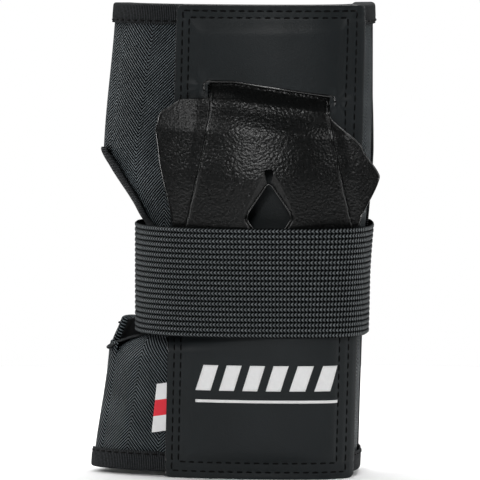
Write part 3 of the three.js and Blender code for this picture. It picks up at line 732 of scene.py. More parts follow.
def inflate(obj, cap, pinned=None, frames=20, pressure=4.0):
    """Swells a closed pad by cloth simulation. No point may move further than cap."""
    start = np.array([v.co for v in obj.data.vertices])
    hem = obj.vertex_groups.new(name="hem")
    hem.add([i for i in range(len(start)) if pinned is None or pinned[i]], 1.0, "REPLACE")
    cloth = obj.modifiers.new("Cloth", "CLOTH")
    cloth.settings.quality = 5
    cloth.settings.use_pressure = True
    cloth.settings.uniform_pressure_force = pressure
    cloth.settings.vertex_group_mass = "hem"
    cloth.settings.effector_weights.gravity = 0
    cloth.collision_settings.use_collision = False
    scene = bpy.context.scene
    for number in range(1, frames + 1):
        scene.frame_set(number)
    settle(obj)
    end = np.array([v.co for v in obj.data.vertices])
    move = end - start
    length = np.linalg.norm(move, axis=1, keepdims=True)
    limit = cap * MM
    move *= np.minimum(1, limit / np.maximum(length, 1e-9)) * np.isfinite(length)
    obj.data.vertices.foreach_set("co", (start + move).astype(np.float32).ravel())
    obj.data.update()
    scene.frame_set(1)
    obj.vertex_groups.clear()
    return obj


def pad(name, form, outline, heights, cols, depth):
    """A padded panel between two side edges and two rims. Its hem holds still while the
    middle swells. outline(z) gives its two side places."""
    us = np.concatenate([[0, 0.02], even(cols, 0.05, 0.95), [0.98, 1]])

    def place(u, v):
        z = heights(u, v)
        left, right = outline(z)
        w = mix(left, right, u)
        hem = np.minimum(hump(u, 0, 0.03) + hump(u, 1, 0.03), 1)
        hem = np.maximum(hem, np.minimum(hump(v, 0, 0.02) + hump(v, 1, 0.02), 1))
        out = -0.3 - 0.8 * hem
        points = form.at(w, z, out)
        return points, np.stack([form.cloth(w, z), z], axis=1)

    vs = np.concatenate([[0, 0.012], even(int(200 / 5.2), 0.03, 0.97), [0.988, 1]])
    obj = skin(name, [NYLON, LINING], us, vs, place)
    thicken(obj, depth - 1.0, inner_material=1)
    settle(obj)
    return obj


# ---- the leather panel on the palm ----


def leather_edges(z):
    share = z / GUARD_HEIGHT
    return mix(-30.7, -25.2, share), mix(50.4, 55.8, share)


def pocket_lift(from_edge, full):
    return mix(EDGE_LIFT, POCKET_LIFT, ramp(from_edge, full * 0.4, full))


# How far the two stitch rows run inside the thumb, little-finger, bottom and top edges.
STITCH_ROWS = ((2.6, 3.4, 3.2, 2.5), (5.5, 7.4, 7.3, 5.6))
STITCH_DIP = 0.35
CORNER = 2.7


def corner_inset(from_end, radius):
    short = radius - clamp(from_end, 0, radius)
    return radius - np.sqrt(radius ** 2 - short ** 2)


def from_sides(x, z):
    left, right = leather_edges(z)
    return x - left, right - x, z, GUARD_HEIGHT - z


def slit_pucker(x, z):
    """The leather gathers into short folds at the two ends of the slit."""
    total = np.zeros(np.shape(x))
    for end_x, end_z, side in ((-14.2, 177.5, 1), (43.2, 170.5, -1)):
        dx, dz = (x - end_x) * side, z - end_z
        reach = np.hypot(dx, dz)
        turn = np.arctan2(dz, -dx)
        total += 0.5 * np.cos(4.2 * turn) * np.exp(-((reach - 3.5) / 3.5) ** 2)
    return total


def leather_face(x, z, sunk=0.0):
    """Points on the outer face of the leather panel at given x and height."""
    sides = from_sides(x, z)
    out = pocket_lift(np.minimum.reduce(sides), 13) + LEATHER
    for row in STITCH_ROWS:
        near = np.minimum.reduce([np.abs(side - inset) for side, inset in zip(sides, row)])
        out = out - STITCH_DIP * hump(near, 0, 1.5)
    out = out + slit_pucker(x, z)
    out = out + 0.22 * np.sin(z / 9.5 + x / 21) * ramp(np.minimum.reduce(sides), 8, 16)
    return on_palm(x, z, out + sunk)


def prism(name, outline, y_from, y_to):
    """A straight prism along Y over an outline of (x, z) points, for cutting."""
    bm = bmesh.new()
    ring = [bm.verts.new(in_frame([(x, y_from, z)])[0]) for x, z in outline]
    face = bm.faces.new(ring)
    made = bmesh.ops.extrude_face_region(bm, geom=[face])
    moved = [g for g in made["geom"] if isinstance(g, bmesh.types.BMVert)]
    bmesh.ops.translate(bm, vec=(0, (y_to - y_from) * MM, 0), verts=moved)
    bmesh.ops.recalc_face_normals(bm, faces=bm.faces)
    return finish_mesh(bm, name, LEATHER_SKIN, smooth=False)


def cut_out(obj, *cutters):
    """Cuts solids out of a piece and throws the cutters away."""
    for cutter in cutters:
        made = obj.modifiers.new("Cut", "BOOLEAN")
        made.operation = "DIFFERENCE"
        made.solver = "EXACT"
        made.object = cutter
    settle(obj)
    for cutter in cutters:
        bpy.data.objects.remove(cutter)
    return obj


def slit_outline(top, lean):
    half = BAND_HALF + 2 * GAP
    low = top - SLIT_HEIGHT
    return [
        (SPLINT_X - half, low), (SPLINT_X + half, low), (SPLINT_X + half, top - lean),
        (SPLINT_X, top - lean * 0.36), (SPLINT_X - half * SLIT_KNEE, top),
        (SPLINT_X - half + 1.5, top), (SPLINT_X - half, top - 1.5),
    ]


def edge_rows(height, corner):
    """Heights with close rows at both rounded ends and even rows between."""
    ends = corner * np.array([0, 0.1, 0.3, 0.6, 1.0])
    body = even(int((height - 2 * corner) / 1.25), corner, height - corner)
    return np.concatenate([ends, body[1:-1], (height - ends)[::-1]])


def leather_panel():
    def place(u, v):
        z = v
        inset = corner_inset(np.minimum(z, GUARD_HEIGHT - z), CORNER)
        left, right = leather_edges(z)
        x = mix(left + inset, right - inset, u)
        return leather_face(x, z), np.stack([x, z], axis=1)

    us = np.concatenate([[0, 0.006], even(74, 0.016, 0.984), [0.994, 1]])
    rows = edge_rows(GUARD_HEIGHT, CORNER)
    obj = skin("leather_palm_panel_cut", LEATHER_SKIN, us, rows, place)
    thicken(obj, LEATHER)
    soften(obj, 0.35, 2, 60)
    settle(obj)
    cutters = [
        prism("slit", slit_outline(SLIT_TOP, SLIT_LEAN), SIDE_Y - 60, SIDE_Y - 10),
        prism("slit", slit_outline(SLIT_LOW, 0), SIDE_Y - 60, SIDE_Y - 10),
    ]
    cut_out(obj, *cutters)
    crease_by_angle(obj, 50)
    return place_piece(obj, "wrap", ["leather_palm_panel"])


def leather_stitches():
    runs = []
    for thumb, ulnar, low, high in STITCH_ROWS:
        z = even(120, low, GUARD_HEIGHT - high)
        left, right = leather_edges(z)
        runs += [run(leather_face, left + thumb, z), run(leather_face, right - ulnar, z)]
        for height in (low, GUARD_HEIGHT - high):
            left, right = leather_edges(height)
            runs.append(run(leather_face, even(60, left + thumb, right - ulnar), height))
    obj = join_copies("leather_palm_stitching", THREAD, STITCH_MESH, seam(runs))
    return place_piece(obj, "wrap")


def tube(name, material, path, radius, sides=10):
    """A round bead along a polyline of points in millimetres, closed at its ends."""
    path = np.asarray(path, float)
    along = np.gradient(path, axis=0)
    along /= np.linalg.norm(along, axis=1, keepdims=True)
    across = np.cross(along, [0.0, 1.0, 0.0])
    across /= np.linalg.norm(across, axis=1, keepdims=True)
    up = np.cross(across, along)
    length = np.concatenate([[0], np.cumsum(np.linalg.norm(np.diff(path, axis=0), axis=1))])
    taper = np.sqrt(np.clip(np.minimum(length, length[-1] - length) / radius, 0.05, 1))

    def place(u, v):
        i = np.rint(u * (len(path) - 1)).astype(int)
        angle = v * 2 * math.pi
        r = (radius * taper[i])[:, None]
        ring = across[i] * np.cos(angle)[:, None] + up[i] * np.sin(angle)[:, None]
        cloth = np.stack([length[i], v * 2 * math.pi * radius], axis=1)
        return path[i] + ring * r, cloth

    return skin(name, material, even(len(path) - 1), even(sides), place, ring=True)


def slit_lip():
    # The folded and stitched edge of the leather over the splint.
    outline = slit_outline(SLIT_TOP, SLIT_LEAN)
    corners = [outline[0], outline[6], outline[5], outline[4], outline[3], outline[2]]
    corners = [(corners[0][0], SLIT_TOP - 6), *corners[1:], (corners[5][0], SLIT_TOP - 12)]
    spots, _ = along_line([(x, 0, z) for x, z in corners], 0.9)
    path = leather_face(spots[:, 0], spots[:, 2], -0.35)
    obj = tube("slit_folded_lip", EDGE_PAINT, path, 0.6)
    return place_piece(obj, "wrap")


# ---- the moulded splint ----

# Height of the outer face over the palm fabric, along the middle.
splint_crown = profile([
    (TONGUE_LOW, TONGUE_RISE), (SLIT_LOW - SLIT_HEIGHT, TONGUE_RISE),
    (SLIT_LOW + 4, SPLINT_FOOT), (STRAP_TOP, SPLINT_RISE - 1), (WING_ULNAR_Z, SPLINT_RISE),
    (WING_THUMB_Z, SPLINT_RISE - 2), (SLIT_TOP - 8, SPLINT_FOOT), (SLIT_TOP - 1, TONGUE_RISE),
    (TONGUE_TOP, TONGUE_RISE),
])
# Half widths to each side.
wing_thumb = profile([
    (TONGUE_LOW, TONGUE_HALF), (SLIT_LOW, TONGUE_ROOT), (STRAP_TOP, 43),
    (WING_THUMB_Z - 12, WING_THUMB - 1.5), (WING_THUMB_Z, WING_THUMB),
    (WING_THUMB_Z + 7, WING_THUMB - 1.5), (SHOULDER_Z - SHOULDER_RADIUS, 40),
    (SHOULDER_Z, BAND_HALF), (SLIT_TOP, BAND_HALF), (SLIT_TOP + 4, TONGUE_HALF),
    (TONGUE_TOP, TONGUE_HALF),
])
wing_ulnar = profile([
    (TONGUE_LOW, TONGUE_HALF), (SLIT_LOW, TONGUE_ROOT), (STRAP_TOP, 40),
    (WING_ULNAR_Z, WING_ULNAR), (WING_ULNAR_Z + 13, 42), (SHOULDER_Z - 8, BAND_HALF),
    (SLIT_TOP, BAND_HALF), (SLIT_TOP + 4, TONGUE_HALF), (TONGUE_TOP, TONGUE_HALF),
])
# Half the width of the raised band down the middle, between its two ribs.
band_rib = profile([
    (67, 24), (STRAP_TOP, 37), (121.5, 35.5), (133, 33), (141, 31.2), (154, 28.5),
    (167, 26.2), (SLIT_TOP, 25.7),
])
STEP_DOWN = 1.5    # how far the wings lie under the band
RIB_RISE = 0.35
# Shares of the way out at which the close columns round the rib start and end.
RIB_FROM = 0.45
RIB_TO = 0.7


def splint_columns():
    """Shares of the way out from the middle line: close columns lie round the rib."""
    half = np.concatenate([
        even(34, 0, RIB_FROM), even(18, RIB_FROM, RIB_TO)[1:], even(22, RIB_TO, 1)[1:],
    ])
    return np.concatenate([-half[::-1], half[1:]])


def splint_rib(side, z):
    """Half widths at a height: the wing's edge, and the rib and its foot within it."""
    wing = np.where(side < 0, wing_thumb(z), wing_ulnar(z))
    rib = np.minimum(band_rib(z), wing - 0.7)
    return wing, rib, rib + np.minimum(1.3, 0.4 * (wing - rib))


def splint_across(share, z):
    wing, rib, foot = splint_rib(share, z)
    crest = rib - 1.8
    t = np.abs(share)
    inner = t / RIB_FROM * crest
    middle = mix(crest, foot, (t - RIB_FROM) / (RIB_TO - RIB_FROM))
    outer = mix(foot, wing, (t - RIB_TO) / (1 - RIB_TO))
    out = np.where(t < RIB_FROM, inner, np.where(t < RIB_TO, middle, outer))
    return np.sign(share) * out, rib


def splint_face(share, z):
    """Points on the outer face of the splint."""
    across, rib = splint_across(share, z)
    x = SPLINT_X + across
    lean = SLIT_LEAN * clamp((x + 1) / 40, 0, 1) * ramp(z, 140, 170)
    rise = splint_crown(z + lean)
    arch = ramp(rise, TONGUE_RISE, SPLINT_RISE - 4)
    drop = WING_DROP * (np.abs(across) / WING_THUMB) ** 2.2
    flat = SPLINT_FACE + SPLINT_RISE - rise + drop
    place = PALM_FORM.place_of_x(x, z)
    laid = PALM_FORM.at(place, z, rise)[:, 1]
    over = PALM_FORM.at(place, z, np.minimum(rise, SPLINT_CLEAR))[:, 1]
    past = np.abs(across) - rib
    shown = ramp(rise, TONGUE_RISE, 6)
    relief = STEP_DOWN * ramp(past, 0, 0.7) * (1 - 0.75 * ramp(past, 0.7, 7))
    relief = relief - RIB_RISE * hump(past, -0.3, 1.1)
    y = np.minimum(mix(laid, flat, arch), over) + relief * shown
    return np.stack([x, y, z], axis=1)


def diamond(steps):
    """A diamond cutter along Y with rounded corners. steps gives depths from the splint's
    face, and how much wider than the vent it is at each."""
    bm = bmesh.new()
    rings = []
    for depth, grow in steps:
        half_x, half_z = VENT_HALF_WIDTH + grow, VENT_HALF_HEIGHT + grow * 1.5
        ring = []
        for x, z in ((0, half_z), (half_x, 0), (0, -half_z), (-half_x, 0)):
            spot = in_frame([(SPLINT_X + x, SPLINT_FACE + depth, VENT_Z + z)])[0]
            ring.append(bm.verts.new(spot))
        rings.append(ring)
    bm.faces.new(rings[0])
    bm.faces.new(rings[-1])
    long_edges = []
    for low, high in zip(rings, rings[1:]):
        for i in range(4):
            j = (i + 1) % 4
            bm.faces.new((low[i], low[j], high[j], high[i]))
            long_edges.append(bm.edges.get((low[i], high[i])))
    bmesh.ops.bevel(
        bm, geom=long_edges, offset=1.8 * MM, segments=4, profile=0.5, affect="EDGES",
        material=-1,
    )
    bmesh.ops.recalc_face_normals(bm, faces=bm.faces)
    return finish_mesh(bm, "diamond", POLISHED, smooth=False)


def keyhole(x, z):
    """A small notch moulded above the point of the diamond."""
    outline = [
        (x - 2.2, z + 2.6), (x - 1.4, z + 3.3), (x + 1.4, z + 3.3), (x + 2.2, z + 2.6),
        (x + 0.9, z - 3.4), (x - 0.9, z - 3.4),
    ]
    return prism("keyhole", outline, SPLINT_FACE - 4, SPLINT_FACE + 4)


def palm_splint():
    rows = np.concatenate([
        even(24, TONGUE_LOW, 64), even(82, 64, SHOULDER_Z - SHOULDER_RADIUS)[1:], [SHOULDER_Z],
        even(6, SHOULDER_Z, SLIT_TOP)[1:], even(3, SLIT_TOP, SLIT_TOP + 4)[1:],
        even(8, SLIT_TOP + 4, TONGUE_TOP)[1:],
    ])

    def place(u, v):
        return splint_face(u, v), np.stack([u, v], axis=1)

    obj = skin("palm_splint_moulded", PLASTIC, splint_columns(), rows, place)
    thicken(obj, 2.3)
    soften(obj, 0.55, 3, 55)
    settle(obj)
    cut_out(obj, diamond(((-2, 8.2), (2.4, 0.2), (9, 0))))
    cut_out(obj, keyhole(SPLINT_X, VENT_Z + VENT_HALF_HEIGHT + 2.0))
    crease_by_angle(obj, 34)
    return place_piece(obj, "wrap", ["palm_splint"])


def splint_beads():
    """Fine polished beads that the mould leaves along the plate's edges and its two ribs."""
    z = even(110, SLIT_LOW - 10, SHOULDER_Z - 1.0)
    for name, side in (("thumb", -1.0), ("ulnar", 1.0)):
        edge = splint_face(np.full(len(z), side * 0.995), z) + [0, 0.1, 0]
        _, middle, foot = splint_rib(side, z)
        share = RIB_FROM + (RIB_TO - RIB_FROM) * 1.6 / (1.8 + foot - middle)
        rib = splint_face(side * share, z) + [0, 0.12, 0]
        for kind, path, radius in (("edge", edge, 0.42), ("rib", rib, 0.36)):
            obj = tube(f"splint_{name}_{kind}_bead", POLISHED, path, radius, 8)
            place_piece(obj, "wrap")


def painted_edges():
    """Glossy edge paint on the cut edge of the leather, all the way round."""
    z = np.concatenate([
        even(6, 0.3, CORNER), even(150, CORNER, GUARD_HEIGHT - CORNER)[1:],
        even(6, GUARD_HEIGHT - CORNER, GUARD_HEIGHT - 0.3)[1:],
    ])
    left, right = leather_edges(z)
    inset = corner_inset(np.minimum(z, GUARD_HEIGHT - z), CORNER)
    for name, x in (("thumb", left + inset), ("ulnar", right - inset)):
        obj = tube(f"leather_{name}_edge_paint", EDGE_PAINT, leather_face(x, z, -0.45), 0.4, 8)
        place_piece(obj, "wrap")
    for name, height in (("low", 0.15), ("top", GUARD_HEIGHT - 0.15)):
        left, right = (float(side) for side in leather_edges(height))
        x = even(80, left + 2.2, right - 2.2)
        path = leather_face(x, np.full(len(x), height), -0.45)
        obj = tube(f"leather_{name}_edge_paint", EDGE_PAINT, path, 0.4, 8)
        place_piece(obj, "wrap")


def vent_rim():
    # The thin lip left round the vent at the foot of its chamfer.
    tops = [(0, VENT_HALF_HEIGHT), (VENT_HALF_WIDTH, 0), (0, -VENT_HALF_HEIGHT),
            (-VENT_HALF_WIDTH, 0)]
    path = []
    for i in range(4):
        before, here, after = (np.array(tops[k % 4], float) for k in (i - 1, i, i + 1))
        enter = here + (before - here) / np.linalg.norm(before - here) * 3.2
        leave = here + (after - here) / np.linalg.norm(after - here) * 3.2
        for t in even(8):
            path.append((1 - t) ** 2 * enter + 2 * t * (1 - t) * here + t * t * leave)
    path.append(path[0])
    spots, _ = along_line([(SPLINT_X + x, SPLINT_FACE + 2.0, VENT_Z + z) for x, z in path], 0.8)
    spots = np.vstack([spots, spots[:2]])
    obj = tube("vent_rim_lip", POLISHED, spots, 0.42, 8)
    place_piece(obj, "wrap")


# ---- the elastic strap ----

STRAP_MIDDLE = STRAP_LOW + STRAP_WIDTH / 2


def back_place(form, x, z=STRAP_MIDDLE):
    return float(form.place_of_x(np.array([x]), np.array([z]), back=True)[0])


TAIL_END = back_place(STRAP_FORM, FLAP_END_X - 6)
ANCHOR_END = back_place(STRAP_FORM, COVER_X[1] + 2)


def strap_face(w, share):
    """Points on the ribbed outer face, share of the way up its width."""
    z = STRAP_LOW + share * STRAP_WIDTH
    rib = np.abs(np.sin(math.pi * STRAP_RIBS * share)) ** 0.75
    edge = np.minimum(share, 1 - share) * STRAP_WIDTH
    out = STRAP - 0.55 * (1 - rib) - 0.5 * hump(edge, 0, 0.8)
    return STRAP_FORM.at(w, z, out)


def elastic_strap():
    def place(u, v):
        points = strap_face(u, v)
        middle = np.full(len(u), STRAP_MIDDLE)
        return points, np.stack([STRAP_FORM.cloth(u, middle), v * STRAP_WIDTH], axis=1)

    ws = even(150, TAIL_END, ANCHOR_END)
    obj = skin("elastic_strap_ribbed", ELASTIC, ws, even(STRAP_RIBS * 6), place)
    thicken(obj, 1.4)
    settle(obj)
    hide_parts("strap_palm", "strap_tail")
    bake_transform(obj)
    return obj


# ---- bindings: tape folded over an edge ----


def fold_section(depth, width):
    """Closed outline of tape folded over an edge, as (in from the edge, out of the cloth)."""
    out, inside, wall = 1.4, -depth - 2.0, 0.8
    turn = even(4, 0, math.pi / 2)
    outer = [(width, out), (width * 0.5, out + 0.15)]
    outer += [(-0.6 - 1.4 * math.sin(a), out - 1.4 + 1.4 * math.cos(a)) for a in turn]
    outer += [(-0.6 - 1.4 * math.cos(a), inside + 1.4 - 1.4 * math.sin(a)) for a in turn]
    outer += [(width * 0.5, inside), (width, inside)]
    inner = [(width, inside + wall), (0, inside + wall), (-0.9, inside + wall + 0.9)]
    inner += [(-0.9, out - wall - 0.9), (0, out - wall), (width, out - wall)]
    return np.array(outer + inner)


def folded_tape(name, form, depth, width, shares, edge, inward, ride, nodes, stitched=True):
    """Tape round an edge. edge(u) gives the edge's places and heights; inward is the way
    from it into the panel, in steps of place and millimetres of height."""
    section = fold_section(depth, width)
    ring = np.vstack([section, section[:1]])
    rim = np.concatenate([[0], np.cumsum(np.linalg.norm(np.diff(ring, axis=0), axis=1))])

    def points_at(u, run, out):
        w, z = edge(u)
        return form.at(w + inward[0] * run, z + inward[1] * run, out)

    line = points_at(np.asarray(shares), 0, 0)
    length = np.concatenate([[0], np.cumsum(np.linalg.norm(np.diff(line, axis=0), axis=1))])

    def place(u, v):
        i = np.rint(v).astype(int)
        run, out = ring[i, 0], ring[i, 1]
        ends = np.minimum(np.interp(u, shares, length), length[-1] - np.interp(u, shares, length))
        out = np.where(ends < 0.2, out * 0.9, out)
        cloth = np.stack([np.interp(u, shares, length), rim[i]], axis=1)
        return points_at(u, run, out), cloth

    obj = skin(name, TAPE, shares, np.arange(len(ring)), place, ring=True)
    place_piece(obj, ride, nodes)
    if stitched:
        def sewn(sunk):
            return points_at(np.asarray(shares), width - 1.3, 1.55 + sunk)

        thread = join_copies(name + "_stitching", THREAD, STITCH_MESH, seam([sewn]))
        place_piece(thread, ride)


# ---- the wrap: palm and back panels, gusset and rims ----

GUSSET_LOW = 60
GUSSET_TOP = 172
GUSSET_HALF = 0.2
ULNAR_SEAM = 1.12
SEAM_GAP = 0.006
PALM_STEP = 1 / 85
BACK_STEP = 1 / 80


def notch_place(z):
    """The thumb-side edge of the palm panel: cut in under the strap, and a little above it."""
    under_strap = ramp(z, NOTCH_LOW, STRAP_LOW + 2) * (1 - ramp(z, STRAP_TOP - 7, STRAP_TOP + 5))
    above = ramp(z, STRAP_TOP - 7, STRAP_TOP + 5) * (1 - ramp(z, NOTCH_TOP - 8, NOTCH_TOP + 2))
    return -1 + (14 * under_strap + 4 * above) * PALM_STEP


def gusset_share(z):
    return ramp(z, GUSSET_LOW, GUSSET_LOW + 20) * (1 - ramp(z, GUSSET_TOP - 24, GUSSET_TOP))


def palm_seam(z):
    return ULNAR_SEAM - SEAM_GAP - GUSSET_HALF * gusset_share(z)


def back_seam(z):
    return ULNAR_SEAM + SEAM_GAP + GUSSET_HALF * gusset_share(z)


def back_end(z):
    """The thumb-side edge of the back panel, as a place counted past 2."""
    cut = ramp(z, STRAP_TOP, STRAP_TOP + 12) * (1 - ramp(z, NOTCH_TOP - 12, NOTCH_TOP))
    return 4 + BACK_FORM.place_of_x(FIELD_X[0] - 4 + 15 * cut, z, back=True)


def back_high(u):
    return mix(RIM_TOP, BACK_TOP, ramp(u, 0, 0.35))


def swell(obj, cap):
    """Inflates a padded panel whose rim vertices hold still, then smooths it."""
    bm = bmesh.new()
    bm.from_mesh(obj.data)
    narrow = 3.2 * MM
    held = [min(e.calc_length() for e in v.link_edges) < narrow for v in bm.verts]
    bm.free()
    inflate(obj, cap, held)
    subdivide(obj, 1)
    settle(obj)
    subdivide(obj, 1)
    return obj


def wrap_pads():
    palm = pad(
        "palm_panel_padded", PALM_FORM, lambda z: (notch_place(z), palm_seam(z)),
        lambda u, v: mix(RIM_LOW, RIM_TOP, v), 34, PAD,
    )
    back = pad(
        "back_panel_padded", BACK_FORM, lambda z: (back_seam(z), back_end(z)),
        lambda u, v: mix(RIM_LOW, back_high(u), v), 24, PAD,
    )
    for obj, prefix in ((palm, "palm"), (back, "back")):
        swell(obj, 1.5)
        nodes = [f"{prefix}_shell_fabric", f"{prefix}_foam", f"{prefix}_lining"]
        place_piece(obj, "wrap", nodes)


def side_gusset():
    """A stretch panel let into the little-finger side, ribbed across."""
    def place(u, v):
        z = mix(GUSSET_LOW + 6, GUSSET_TOP - 6, v)
        w = ULNAR_SEAM + (2 * u - 1) * (GUSSET_HALF * gusset_share(z) + 0.012)
        rib = 0.5 * np.cos(2 * math.pi * z / 2.6)
        return PALM_FORM.at(w, z, -0.9 + rib), np.stack([PALM_FORM.cloth(w, z), z], axis=1)

    obj = skin("side_gusset_ribbed", ELASTIC, even(14), even(260), place)
    thicken(obj, 1.2)
    place_piece(obj, "wrap", ["side_gusset"])


def gusset_piping():
    """Narrow tape covering both seams of the gusset."""
    for name, seam_at in (("palm_side_seam_tape", palm_seam), ("back_side_seam_tape", back_seam)):
        z = even(110, RIM_LOW + 3, RIM_TOP - 3)
        path = PALM_FORM.at(seam_at(z), z, -0.1)
        obj = tube(name, TAPE, path, 0.8)
        place_piece(obj, "wrap")


def wrap_bindings():
    up, down = (0, 1), (0, -1)

    def palm_rim(z):
        start, end = (float(side(np.array([z]))[0]) for side in (notch_place, palm_seam))
        return lambda u: (mix(start + 0.004, end - 0.001, u), np.full(np.shape(u), z))

    def back_rim(height):
        def edge(u):
            z = height(u)
            return mix(back_seam(z) + 0.001, back_end(z) - 0.004, u), z
        return edge

    folded_tape("top_binding_folded", PALM_FORM, PAD, 7, even(90), palm_rim(RIM_TOP), down,
                "wrap", ["top_binding"])
    folded_tape("cuff_binding_folded", PALM_FORM, PAD, 7, even(90), palm_rim(RIM_LOW), up,
                "wrap", ["cuff_binding"])
    folded_tape("back_top_binding_folded", BACK_FORM, PAD, 7, even(60), back_rim(back_high), down,
                "wrap", ["back_top_binding"])
    low = back_rim(lambda u: np.full(np.shape(u), float(RIM_LOW)))
    folded_tape("back_cuff_binding_folded", BACK_FORM, PAD, 7, even(60), low, up,
                "wrap", ["back_cuff_binding"])

    def side_edge(place_at, low_z, high_z):
        def edge(u):
            z = mix(low_z, high_z, u)
            return place_at(z), z
        return edge

    folded_tape("back_edge_binding_folded", BACK_FORM, PAD, 3.6, even(120),
                side_edge(back_end, RIM_LOW + 9, BACK_TOP - 9), (-BACK_STEP, 0),
                "wrap", ["back_edge_binding"], stitched=False)
    folded_tape("thumb_notch_binding_folded", PALM_FORM, PAD, 5.4, even(120),
                side_edge(notch_place, NOTCH_LOW - 4, NOTCH_TOP + 1), (PALM_STEP, 0),
                "wrap", ["thumb_notch_binding"], stitched=False)


def closing_seams():
    """Rolled seams inside, where the palm and back panels meet above and below the gusset."""
    for name, low, high in (
        ("cuff", RIM_LOW + 1, GUSSET_LOW + 6), ("finger", GUSSET_TOP - 6, BACK_TOP - 1),
    ):
        z = even(40, low, high)
        path = PALM_FORM.at(np.full(len(z), ULNAR_SEAM), z, -0.55 * PAD)
        obj = tube(f"{name}_end_rolled_seam", THREAD, path, 1.7, 10)
        place_piece(obj, "wrap")


# ---- the two flaps that close round the back ----


def flap(prefix, slot_low, slot_high, taper, corner_rise=0.0):
    """One flap between two heights on the thumb side. It narrows by taper towards its end,
    and the corner by its fold may rise above the slot. Its body has the flap's name."""
    middle = (slot_low + slot_high) / 2
    end = back_place(FLAP_FORM, FLAP_END_X, middle)
    hook_from = back_place(FLAP_FORM, FIELD_X[0] + 3, middle)

    def limits(u):
        narrow = taper * ramp(u, 0.15, 1)
        corner = corner_rise * (1 - ramp(u, 0.34, 0.5))
        return slot_low + narrow, slot_high - narrow + corner

    def heights(u, v):
        low, high = limits(1 - u)
        return mix(low, high, v)

    sides = end, -1 - SEAM_GAP
    obj = pad(prefix + "_padded", FLAP_FORM, lambda z: sides, heights, 16, FLAP_PAD)
    swell(obj, 1.2)
    nodes = [f"{prefix}_shell_fabric", f"{prefix}_foam", f"{prefix}_lining"]
    place_piece(obj, prefix, nodes)

    def edge(u):
        low, high = limits(1.0)
        return np.full(np.shape(u), end), mix(low + 1, high - 1, u)

    folded_tape(prefix + "_end_binding", FLAP_FORM, FLAP_PAD, 3.6, even(40), edge,
                (BACK_STEP, 0), prefix, [prefix + "_binding"], stitched=False)

    def hooks(u, v):
        w = mix(end + 0.08, hook_from, u)
        z = mix(slot_low + taper + 3, slot_high - taper - 3, v)
        return FLAP_FORM.at(w, z, -FLAP_PAD - GAP), np.stack([FLAP_FORM.cloth(w, z), z], axis=1)

    patch = skin(prefix + "_hooks", HOOKS, even(12), even(20), hooks)
    thicken(patch, 1.2)
    place_piece(patch, prefix, [prefix + "_hook_patch"])

    def rim_thread(side):
        def line(sunk):
            u = even(60, 0.05, 0.94)
            low, high = limits(u)
            high = np.minimum(high, limits(u + 0.05)[1])
            z = low + 3.2 if side < 0 else high - 3.6
            return FLAP_FORM.at(mix(-1 - SEAM_GAP, end, u), z, 0.2 + sunk)
        return line

    thread = join_copies(
        prefix + "_stitching", THREAD, STITCH_MESH, seam([rim_thread(-1), rim_thread(1)]),
    )
    place_piece(thread, prefix)

    def fold(u, v):
        w = mix(-1.075, -0.925, u)
        z = mix(slot_low - 0.5, slot_high, v)
        out = 0.1 - 1.1 * np.abs(2 * u - 1) ** 3
        return FLAP_FORM.at(w, z, out), np.stack([FLAP_FORM.cloth(w, z), z], axis=1)

    strip = skin(prefix + "_fold_strip", NYLON, even(16), even(24), fold)
    thicken(strip, 0.7)
    settle(strip)
    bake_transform(strip)


# ---- the back: splint cover, loop fields, strap tail ----


def over_back(x, z):
    place = BACK_FORM.place_of_x(x, z, back=True)
    return np.where(place < 0, place + 4, place)


def back_cover():
    top, inset_row = BACK_TOP - 8, 2.6

    def face(x, z, out=0.0):
        sides = np.minimum.reduce([x - COVER_X[0], COVER_X[1] - x, z, top - z])
        lift = pocket_lift(sides, 8) + LEATHER
        lift = lift - STITCH_DIP * hump(np.abs(sides - inset_row), 0, 1.4)
        return BACK_FORM.at(over_back(x, z), z, lift + out)

    def place(u, v):
        inset = corner_inset(np.minimum(v, top - v), CORNER)
        x = mix(COVER_X[1] - inset, COVER_X[0] + inset, u)
        return face(x, v), np.stack([x, v], axis=1)

    obj = skin("back_splint_cover_leather", LEATHER_SKIN, even(40), edge_rows(top, CORNER), place)
    thicken(obj, LEATHER)
    soften(obj, 0.35, 2, 60)
    place_piece(obj, "wrap", ["back_splint_cover"])

    up = even(100, inset_row, top - inset_row)
    across = even(30, COVER_X[0] + inset_row, COVER_X[1] - inset_row)
    runs = [run(face, x, up) for x in (COVER_X[0] + inset_row, COVER_X[1] - inset_row)]
    runs += [run(face, across, z) for z in (inset_row, top - inset_row)]
    thread = join_copies("back_cover_stitching", THREAD, STITCH_MESH, seam(runs))
    place_piece(thread, "wrap")


def loop_field(node, low, high):
    def place(u, v):
        x = mix(FIELD_X[1], FIELD_X[0], u)
        z = mix(low, high, v)
        w = BACK_FORM.place_of_x(x, z, back=True)
        pile = 0.12 * np.sin(x * 5.1 + 1.3 * np.sin(z * 3.7)) * np.sin(z * 4.7)
        return BACK_FORM.at(w, z, GAP + 1.1 + pile), np.stack([x, z], axis=1)

    obj = skin(node + "_pile", LOOP, even(46), even(int((high - low) * 1.6)), place)
    thicken(obj, 1.1)
    place_piece(obj, "wrap", [node])


